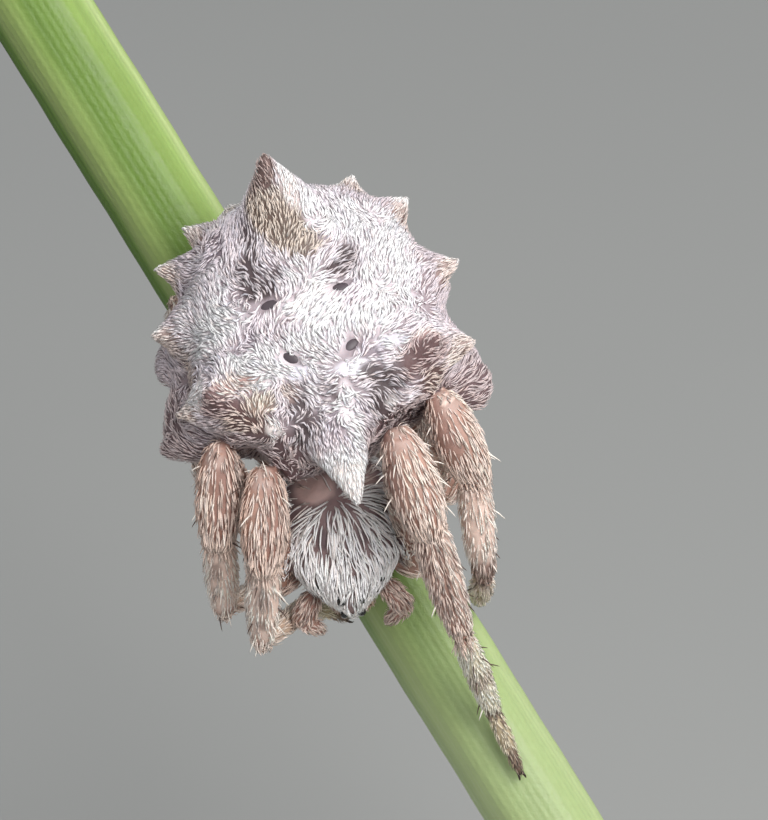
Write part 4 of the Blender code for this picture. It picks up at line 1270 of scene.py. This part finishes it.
def unwrap(skin, hairs):
    """Where each root lies on an unwrap of the skin: balls for the bodies, a strip for each limb segment."""
    kinds = skin.kinds[hairs.root_place]
    chart = np.zeros((len(kinds), 2))
    for kind, own, corner, size in (
        ("abdomen", ABDOMEN_FRAME, (0.0, 0.0), 0.62),
        ("prosoma", PROSOMA_FRAME, (0.64, 0.0), 0.34),
    ):
        on = kinds == kind
        place = moved(skin.points[hairs.root_place[on]], own.inverted())
        way = place / np.maximum(np.abs(place).sum(axis=1, keepdims=True), 1e-9)
        low = way[:, 2] < 0.0
        flat = way[:, :2].copy()
        fold = (1.0 - np.abs(way[:, 1::-1])) * np.where(way[:, :2] >= 0.0, 1.0, -1.0)
        flat[low] = fold[low]
        chart[on] = np.array(corner) + (flat * 0.5 + 0.5) * size
    on = ~np.isin(kinds, ("abdomen", "prosoma"))
    place = hairs.root_place[on]
    legs = kinds[on] == "leg"
    column = np.where(legs, skin.limb[place], skin.limb[place] + 2 * skin.segment[place])
    row = np.where(legs, skin.segment[place], 6)
    share = np.clip(skin.share[place], 0.0, 1.0)
    around = skin.angle[place] / math.tau + 0.5
    strips = np.where(legs, STRIPS_OF_LEGS, STRIPS_OF_SMALL_LIMBS)
    chart[on, 0] = (column + around * STRIP_FILL) / strips
    chart[on, 1] = STRIPS_FROM + (row + share * STRIP_FILL) * (1.0 - STRIPS_FROM) / STRIP_ROWS
    return np.clip(chart, 0.0, 0.996)


def tuft_patches(chart):
    """A patch of its own for every tuft, as near its root's place on the unwrap as one is free."""
    across = int(1.0 / TUFT_PATCH)
    spread = range(1 - PATCH_RINGS, PATCH_RINGS)
    steps = [(dx, dy) for dx in spread for dy in spread]
    steps.sort(key=lambda step: (max(abs(step[0]), abs(step[1])), step[0] ** 2 + step[1] ** 2))
    free = {(x, y) for x in range(across) for y in range(across)}
    cells = []
    for x, y in (chart / TUFT_PATCH).astype(int).tolist():
        cells.append(next((x + dx, y + dy) for dx, dy in steps if (x + dx, y + dy) in free))
        free.remove(cells[-1])
    return np.array(cells) * TUFT_PATCH


def add_coat(skin, sets, material):
    """The coat's pieces, each with its own unwrap."""
    groups = (
        ("abdomen", ("abdomen",), "abdomen"),
        ("prosoma", ("prosoma", "palp", "jaw", "spinneret"), "prosoma"),
        ("legs_left", ("leg",), "legs"),
        ("legs_right", ("leg",), "legs"),
    )
    for rings, hairs in sets:
        kinds = skin.kinds[hairs.root_place]
        side = np.array([leg.side for leg in LEGS])[np.where(kinds == "leg", skin.limb[hairs.root_place], 0)]
        for name, members, slot in groups:
            on = np.isin(kinds, members)
            if name.startswith("legs"):
                on &= side == name[5:]
            chosen = np.nonzero(on)[0]
            most = PIECE_TRIANGLES // (6 * rings - 2)
            pieces = math.ceil(len(chosen) / most)
            for part in range(pieces):
                some = Hairs(*(field[chosen[part::pieces]] for field in hairs))
                add_coat_piece(skin, some, rings, f"coat_{name}_{rings}_{part + 1}", material, slot)


def add_coat_piece(skin, hairs, rings, name, material, slot):
    """One piece of the coat."""
    points, faces, colours, template = blades(hairs, rings)
    thing = add_piece(name, points, faces, material, slot, colours)
    corner = tuft_patches(unwrap(skin, hairs))
    across = np.append(np.tile([PATCH_MARGIN, 1.0 - PATCH_MARGIN, 0.50], rings), 0.50)
    along = blade_shares(rings) * (1.0 - 2.0 * PATCH_MARGIN) + PATCH_MARGIN
    inside = np.stack([across, along], axis=1) * TUFT_PATCH
    uv = (corner[:, None] + inside[None])[:, template.ravel()].reshape(-1, 2)
    layer = thing.data.uv_layers.new(name="OFBake")
    layer.uv.foreach_set("vector", uv.astype(np.float32).ravel())


def set_sockets(node, values):
    """Sets a node's sockets by name, with a low line for each space."""
    for name, value in values.items():
        node.inputs[name.replace("_", " ")].default_value = value


def add_node(tree, kind, **values):
    """A shader node with its sockets set."""
    node = tree.nodes.new(kind)
    set_sockets(node, values)
    return node


def noisy_material(name, roughness, spread, relief, depth, noise_values, shader_values):
    """A material with fine noise in gloss and relief, and what its colour needs: tree, noise and shader."""
    made = bpy.data.materials.new(name)
    made.use_nodes = True
    tree = made.node_tree
    shader = tree.nodes["Principled BSDF"]
    set_sockets(shader, shader_values)
    where = tree.nodes.new("ShaderNodeTexCoord")
    noise = add_node(tree, "ShaderNodeTexNoise", **noise_values)
    tree.links.new(where.outputs["Object"], noise.inputs["Vector"])
    least = max(roughness - spread, LEAST_ROUGHNESS)
    gloss = add_node(tree, "ShaderNodeMapRange", To_Min=least, To_Max=roughness + spread)
    tree.links.new(noise.outputs["Fac"], gloss.inputs["Value"])
    tree.links.new(gloss.outputs["Result"], shader.inputs["Roughness"])
    if depth:
        bump = add_node(tree, "ShaderNodeBump", Strength=relief, Distance=depth)
        tree.links.new(noise.outputs["Fac"], bump.inputs["Height"])
        tree.links.new(bump.outputs["Normal"], shader.inputs["Normal"])
    return made, tree, noise, shader


def tinted_material(name, roughness, grain, depth, sheen=0.0, variation=0.12, specular=0.5, subsurface=0.0):
    """A material that takes its colour from the piece's points, with grain in colour, gloss and relief."""
    look = {"Sheen_Weight": sheen, "Specular_IOR_Level": specular}
    if subsurface:
        look["Subsurface_Weight"] = subsurface
        look["Subsurface_Radius"] = SUBSURFACE_RADIUS
        look["Subsurface_Scale"] = SUBSURFACE_SCALE
    fine = {"Scale": grain, "Detail": 3.0, "Roughness": 0.6}
    made, tree, noise, shader = noisy_material(
        name, roughness, TINTED_GLOSS_SPREAD, TINTED_RELIEF, depth, fine, look
    )
    tint = tree.nodes.new("ShaderNodeAttribute")
    tint.attribute_name = "tint"
    shade = add_node(tree, "ShaderNodeMapRange", To_Min=1.0 - variation, To_Max=1.0 + variation)
    tree.links.new(noise.outputs["Fac"], shade.inputs["Value"])
    mix = tree.nodes.new("ShaderNodeMix")
    mix.data_type = "RGBA"
    mix.blend_type = "MULTIPLY"
    mix.inputs["Factor"].default_value = 1.0
    tree.links.new(tint.outputs["Color"], mix.inputs["A"])
    tree.links.new(shade.outputs["Result"], mix.inputs["B"])
    tree.links.new(mix.outputs["Result"], shader.inputs["Base Color"])
    return made


def plain_material(name, colour, roughness, grain=3000.0, variation=0.06, depth=0.0, metallic=0.0, coat=0.0):
    """A material of one colour with fine procedural variation in colour, gloss and relief."""
    look = {"Metallic": metallic, "Coat_Weight": coat}
    fine = {"Scale": grain, "Detail": 4.0}
    made, tree, noise, shader = noisy_material(
        name, roughness, PLAIN_GLOSS_SPREAD, PLAIN_RELIEF, depth, fine, look
    )
    shades = tree.nodes.new("ShaderNodeValToRGB")
    base = rgb(colour)
    shades.color_ramp.elements[0].color = (*(base * (1.0 - variation)), 1.0)
    shades.color_ramp.elements[1].color = (*np.clip(base * (1.0 + variation), 0.0, 1.0), 1.0)
    tree.links.new(noise.outputs["Fac"], shades.inputs["Fac"])
    tree.links.new(shades.outputs["Color"], shader.inputs["Base Color"])
    return made


def horn(path, radii, sides):
    """A closed tapering rod along a path of places, pointed at its end."""
    path = np.array([tuple(place) for place in path])
    tangent = unit(np.gradient(path, axis=0))
    hint = np.where(np.abs(tangent[:, 2:]) < 0.9, np.array([[0.0, 0.0, 1.0]]), np.array([[1.0, 0.0, 0.0]]))
    side = unit(np.cross(tangent, hint))
    up = np.cross(side, tangent)
    angles = np.arange(sides) * math.tau / sides
    rows = [
        [path[i] + (side[i] * math.cos(angle) - up[i] * math.sin(angle)) * radius for angle in angles]
        for i, radius in enumerate(radii)
    ]
    return tube(path[0], rows, path[-1])


def add_eyes(material):
    """Glossy domes in the places of the solids' eyes."""
    for eye in EYES:
        for side_name, side in SIDES.items():
            bearing, elevation = math.radians(eye.bearing), math.radians(eye.elevation)
            way = Vector((side * math.sin(bearing), math.cos(bearing), 0.0)) * math.cos(elevation)
            way.z = math.sin(elevation)
            surface = prosoma_points(np.array([tuple(way)]))[0]
            centre = surface - surface / np.linalg.norm(surface) * eye.radius * EYE_SUNK
            points, faces = even_ball(4)
            points = moved(points * eye.radius + centre, PROSOMA_FRAME)
            name = f"eye_{eye.name}_{side_name}"
            add_piece(f"glossy_{name}", points, faces, material, "eyes", replaces=(name,))


def add_sigilla(tree, material):
    """Dark glossy slits, sunk in the abdomen's back."""
    shapes = []
    ball, faces = even_ball(4)
    local_x = ABDOMEN_FRAME.to_3x3() @ Vector((1.0, 0.0, 0.0))
    for spot in SIGILLA:
        stretched = ball * np.array([spot.half_length, spot.half_width, SIGILLA_HALF_DEPTH])
        place, normal = tree.find_nearest(ABDOMEN_FRAME @ Vector(spot.place))[:2]
        upright = normal.to_track_quat("Z", "Y").to_matrix().to_4x4()
        spin = math.atan2(*(upright.to_3x3().transposed() @ local_x).yx)
        turn = Matrix.Rotation(spin, 4, "Z") @ Matrix.Rotation(math.radians(spot.turn), 4, "Z")
        shapes.append((moved(stretched, Matrix.Translation(place) @ upright @ turn), faces))
    add_piece("sigilla", *joined(shapes), material, "abdomen")


def add_claws(material):
    """A pair of curved claws at each leg's tip."""
    shapes = []
    for leg in LEGS:
        heel, tip = leg_joints(leg)[-2:]
        way = (tip - heel).normalized()
        middle = STEM_MIDDLE + STEM_AXIS * (tip - STEM_MIDDLE).dot(STEM_AXIS)
        inward = (middle - tip).normalized()
        inward = (inward - way * inward.dot(way)).normalized()
        across = way.cross(inward)
        for side in (-1.0, 1.0):
            root = tip + across * side * CLAW_ASIDE - way * CLAW_DEPTH
            path = [root + way * on + across * side * out + inward * bend for on, out, bend in CLAW_PATH]
            shapes.append(horn(path, CLAW_RADII, 7))
    add_piece("claws", *joined(shapes), material, "legs")


def add_bristles(skin, pale, dark):
    """Sparse erect bristles on the legs, in pale and dark."""
    legs = np.nonzero((skin.kinds == "leg") & (skin.segment >= 1) & (skin.segment <= 4))[0]
    shapes = []
    for i in DRAW.choice(legs, BRISTLE_COUNT, replace=False):
        normal = skin.normals[i]
        lie = skin.flow[i]
        length = DRAW.uniform(*BRISTLE_LENGTH)
        way = unit(normal + lie * DRAW.uniform(*BRISTLE_LEAN))
        root = skin.points[i] - normal * BRISTLE_DEPTH
        path = [root + way * length * share + lie * bend for share, bend in BRISTLE_PATH]
        shapes.append(horn(path, BRISTLE_RADII, 5))
    add_piece("bristles_pale", *joined([shape for i, shape in enumerate(shapes) if i % 3]), pale, "legs")
    add_piece("bristles_dark", *joined(shapes[::3]), dark, "legs")


def ring_points(radius, angles, height):
    """Points round an upright axis at one height."""
    return np.stack([radius * np.cos(angles), radius * np.sin(angles), np.full(len(angles), height)], axis=1)


def stem_colours(angle, along, radius_share):
    """Green bands round the stem, streaked along it, and its pith; the angle is from its top to the right."""
    stops = np.array([stop for stop, _ in STEM_BANDS])
    table = np.array([rgb(colour) for _, colour in STEM_BANDS])
    nought = np.zeros_like(angle)
    wander = 7.0 * cloud(np.stack([along * 0.3, nought, nought], axis=1), 1.0, 101)
    colour = np.stack([np.interp(angle + wander, stops, table[:, axis]) for axis in range(3)], axis=1)
    turn = np.radians(angle)
    streak = cloud(np.stack([np.cos(turn) * 9.0, np.sin(turn) * 9.0, along * 0.35], axis=1), 1.0, 102)
    colour = colour * (1.0 + 0.12 * streak[:, None])
    pale = (0.7 * ramp(18.0, 26.0, along))[:, None]
    colour = colour * (1.0 - pale) + rgb(STEM_PALE) * pale
    inner = ramp(0.97, 0.86, radius_share)[:, None]
    return np.clip(colour * (1.0 - inner) + rgb(STEM_PITH) * inner, 0.0, 1.0)


def add_stem(material):
    """The stem: ribbed, finely streaked, cut square at both ends."""
    top = STEM_MIDDLE - STEM_AXIS * STEM_UP
    length = STEM_UP + STEM_DOWN
    angles = np.arange(STEM_SIDES) * math.tau / STEM_SIDES
    groove = STEM_GROOVE * (1.0 - np.cos(STEM_RIBS * angles)) / 2.0
    fine = 0.006 * np.cos(angles * 42.0) + 0.004 * np.cos(angles * 67.0 + 1.0)
    rim = STEM_RIM[-1][0]
    rings = [*STEM_RIM, *((height, 1.0) for height in np.linspace(rim, length - rim, STEM_RINGS)[1:-1])]
    rings += [(length - inward, share) for inward, share in reversed(STEM_RIM)]
    rows = []
    for height, share in rings:
        swell = 0.006 * math.sin(height * 1.7) + 0.0036 * math.sin(height * 4.1 + 1.0)
        radius = (STEM_RADIUS - STEM_INSET - groove + fine + swell) * share
        rows.append(ring_points(radius, angles, height))
    points, faces = tube((0.0, 0.0, 0.0), rows, (0.0, 0.0, length))
    shares = np.repeat([0.0, *(share for _, share in rings), 0.0], [1, *[STEM_SIDES] * len(rings), 1])
    along = points[:, 2]
    points = moved(points, Matrix.Translation(top) @ STEM_AXIS.to_track_quat("Z", "Y").to_matrix().to_4x4())
    out = points - np.array(STEM_MIDDLE)
    angle = np.degrees(np.arctan2(out @ np.array(STEM_ACROSS), out[:, 2]))
    colours = stem_colours(angle, along, shares)
    add_piece("green_stem", points, faces, material, "perch", colours, replaces=("perch_stem",))


def add_stand(base_material, rod_material):
    """The base with soft edges and the two rods that carry the stem."""
    bm = bmesh.new()
    bmesh.ops.create_cube(bm, size=1.0)
    bmesh.ops.scale(bm, vec=BASE_SIZE, verts=bm.verts[:])
    bmesh.ops.translate(bm, vec=(0.0, 0.0, BASE_SIZE.z / 2.0), verts=bm.verts[:])
    top_edges = [edge for edge in bm.edges if all(vert.co.z > 0.0 for vert in edge.verts)]
    bmesh.ops.bevel(bm, geom=top_edges, offset=BASE_ROUNDING, segments=6, profile=0.5, affect="EDGES")
    bmesh.ops.triangulate(bm, faces=bm.faces[:])

    def add_part(name, shape, material, node, sharp_from):
        """One part of the stand, with its edges sharp from so many degrees on."""
        thing = add_piece(name, *shape, material, "stand", matrix=METRES, replaces=(node,))
        thing.data.set_sharp_from_angle(angle=math.radians(sharp_from))

    add_part("stand_plinth", taken_from(bm), base_material, "stand_base", 35.0)
    for name, along in (("upper", UPPER_ROD_ALONG), ("lower", LOWER_ROD_ALONG)):
        shape = rod_shape(SPECIMEN @ (STEM_MIDDLE + STEM_AXIS * along))
        add_part(f"stand_post_{name}", shape, rod_material, f"stand_rod_{name}", 40.0)


def rod_shape(meet):
    """An upright round bar from the base to the stem at meet, its top hollowed to the stem's round."""
    angles = np.arange(ROD_SIDES) * math.tau / ROD_SIDES
    axis = np.array(SPECIMEN.to_3x3() @ STEM_AXIS)
    reach = STEM_RADIUS + ROD_GAP
    rows = []
    for share, height in ROD_RINGS:
        radius = (ROD_RADIUS - ROD_INSET) * share
        ring = ring_points(radius, angles, 0.0)
        if height is None:
            # A point under the axis at depth z lies at reach from it: the lower root of a quadratic
            along = ring @ axis
            a = 1.0 - axis[2] ** 2
            b = -2.0 * along * axis[2]
            c = (ring**2).sum(axis=1) - along**2 - reach**2
            ring[:, 2] = meet.z + (-b - np.sqrt(b * b - 4.0 * a * c)) / (2.0 * a)
        else:
            ring[:, 2] = BASE_SIZE.z + ROD_GAP + height
        rows.append(ring + np.array([meet.x, meet.y, 0.0]))
    return tube(rows[0].mean(axis=0), rows, rows[-1].mean(axis=0))


def light(name, place, aim, size, power, colour):
    """A soft square light in the specimen frame, aimed at a place."""
    data = bpy.data.lights.new(name, "AREA")
    data.shape = "SQUARE"
    data.size = size * MM
    data.energy = power
    data.color = colour
    thing = placed(name, data)
    start, end = WORLD @ Vector(place), WORLD @ Vector(aim)
    thing.location = start
    thing.rotation_euler = (start - end).to_track_quat("Z", "Y").to_euler()


def add_surroundings():
    """The floor, the soft light and the camera."""
    mesh = bpy.data.meshes.new("floor")
    far = FLOOR_HALF_WIDTH
    mesh.from_pydata([(-far, -far, 0), (far, -far, 0), (far, far, 0), (-far, far, 0)], [], [(0, 1, 2, 3)])
    mesh.materials.append(plain_material("floor_finish", (144, 145, 143), 0.85, grain=60.0, variation=0.02))
    floor = placed("floor", mesh)
    floor.location.z = -FLOOR_DROP

    world = bpy.data.worlds.new("studio")
    bpy.context.scene.world = world
    world.use_nodes = True
    sky = world.node_tree.nodes["Background"]
    set_sockets(sky, {"Color": SKY_COLOUR, "Strength": SKY_STRENGTH})
    for values in LIGHTS:
        light(*values)
    bpy.context.scene.view_settings.view_transform = "Standard"

    data = bpy.data.cameras.new("camera")
    data.sensor_fit = "VERTICAL"
    data.angle_y = 2.0 * math.atan(CAMERA_HALF_HEIGHT / CAMERA_DISTANCE)
    data.clip_start = 0.001
    camera = placed("camera", data)
    direction = SPECIMEN.to_3x3() @ Vector((0.0, 0.0, 1.0))
    camera.location = (SPECIMEN @ CAMERA_TARGET + direction * CAMERA_DISTANCE) * MM
    camera.rotation_euler = direction.to_track_quat("Z", "Y").to_euler()
    bpy.context.scene.camera = camera


FLESH_NODES = [
    "abdomen", "prosoma", "pedicel", "spinnerets",
    *(f"{part}_{side}" for part in ("chelicera", "palp") for side in SIDES),
    *(f"leg_{leg.side}_{leg.row}" for leg in LEGS),
]


def main():
    """Builds the animal, its stem, its stand and the studio."""
    skin = Skin(flesh_forms())
    skin_finish = tinted_material("skin_finish", 0.58, 9000.0, 0.00002, variation=0.10, subsurface=0.15)
    add_piece("skin", skin.points, skin.quads, skin_finish, "abdomen", skin.colours(), replaces=FLESH_NODES)
    tree, sets = grown_hairs(skin)
    coat_finish = tinted_material(
        "coat_finish", 0.52, 16000.0, 0.0, sheen=0.15, variation=0.05, specular=0.45
    )
    add_coat(skin, sets, coat_finish)
    add_eyes(plain_material("eye_finish", (14, 12, 12), 0.10, coat=0.6))
    add_sigilla(tree, plain_material("sigilla_finish", (78, 68, 74), 0.46, grain=12000.0))
    add_claws(plain_material("claw_finish", (44, 28, 20), 0.30))
    add_bristles(
        skin,
        plain_material("pale_bristle_finish", (244, 236, 226), 0.45),
        plain_material("dark_bristle_finish", (84, 64, 56), 0.40),
    )
    add_stem(tinted_material("stem_finish", 0.48, 5000.0, 0.00003, variation=0.07, subsurface=0.1))
    add_stand(
        plain_material("plinth_finish", (214, 212, 208), 0.42, grain=900.0, depth=0.00001),
        plain_material("rod_finish", (150, 152, 155), 0.32, grain=6000.0, metallic=1.0),
    )
    add_surroundings()
    total = sum(len(thing.data.polygons) for thing in bpy.data.objects if thing.type == "MESH")
    print("faces", total, "skin", len(skin.quads), "hairs", [len(hairs.path) for _, hairs in sets])


main()
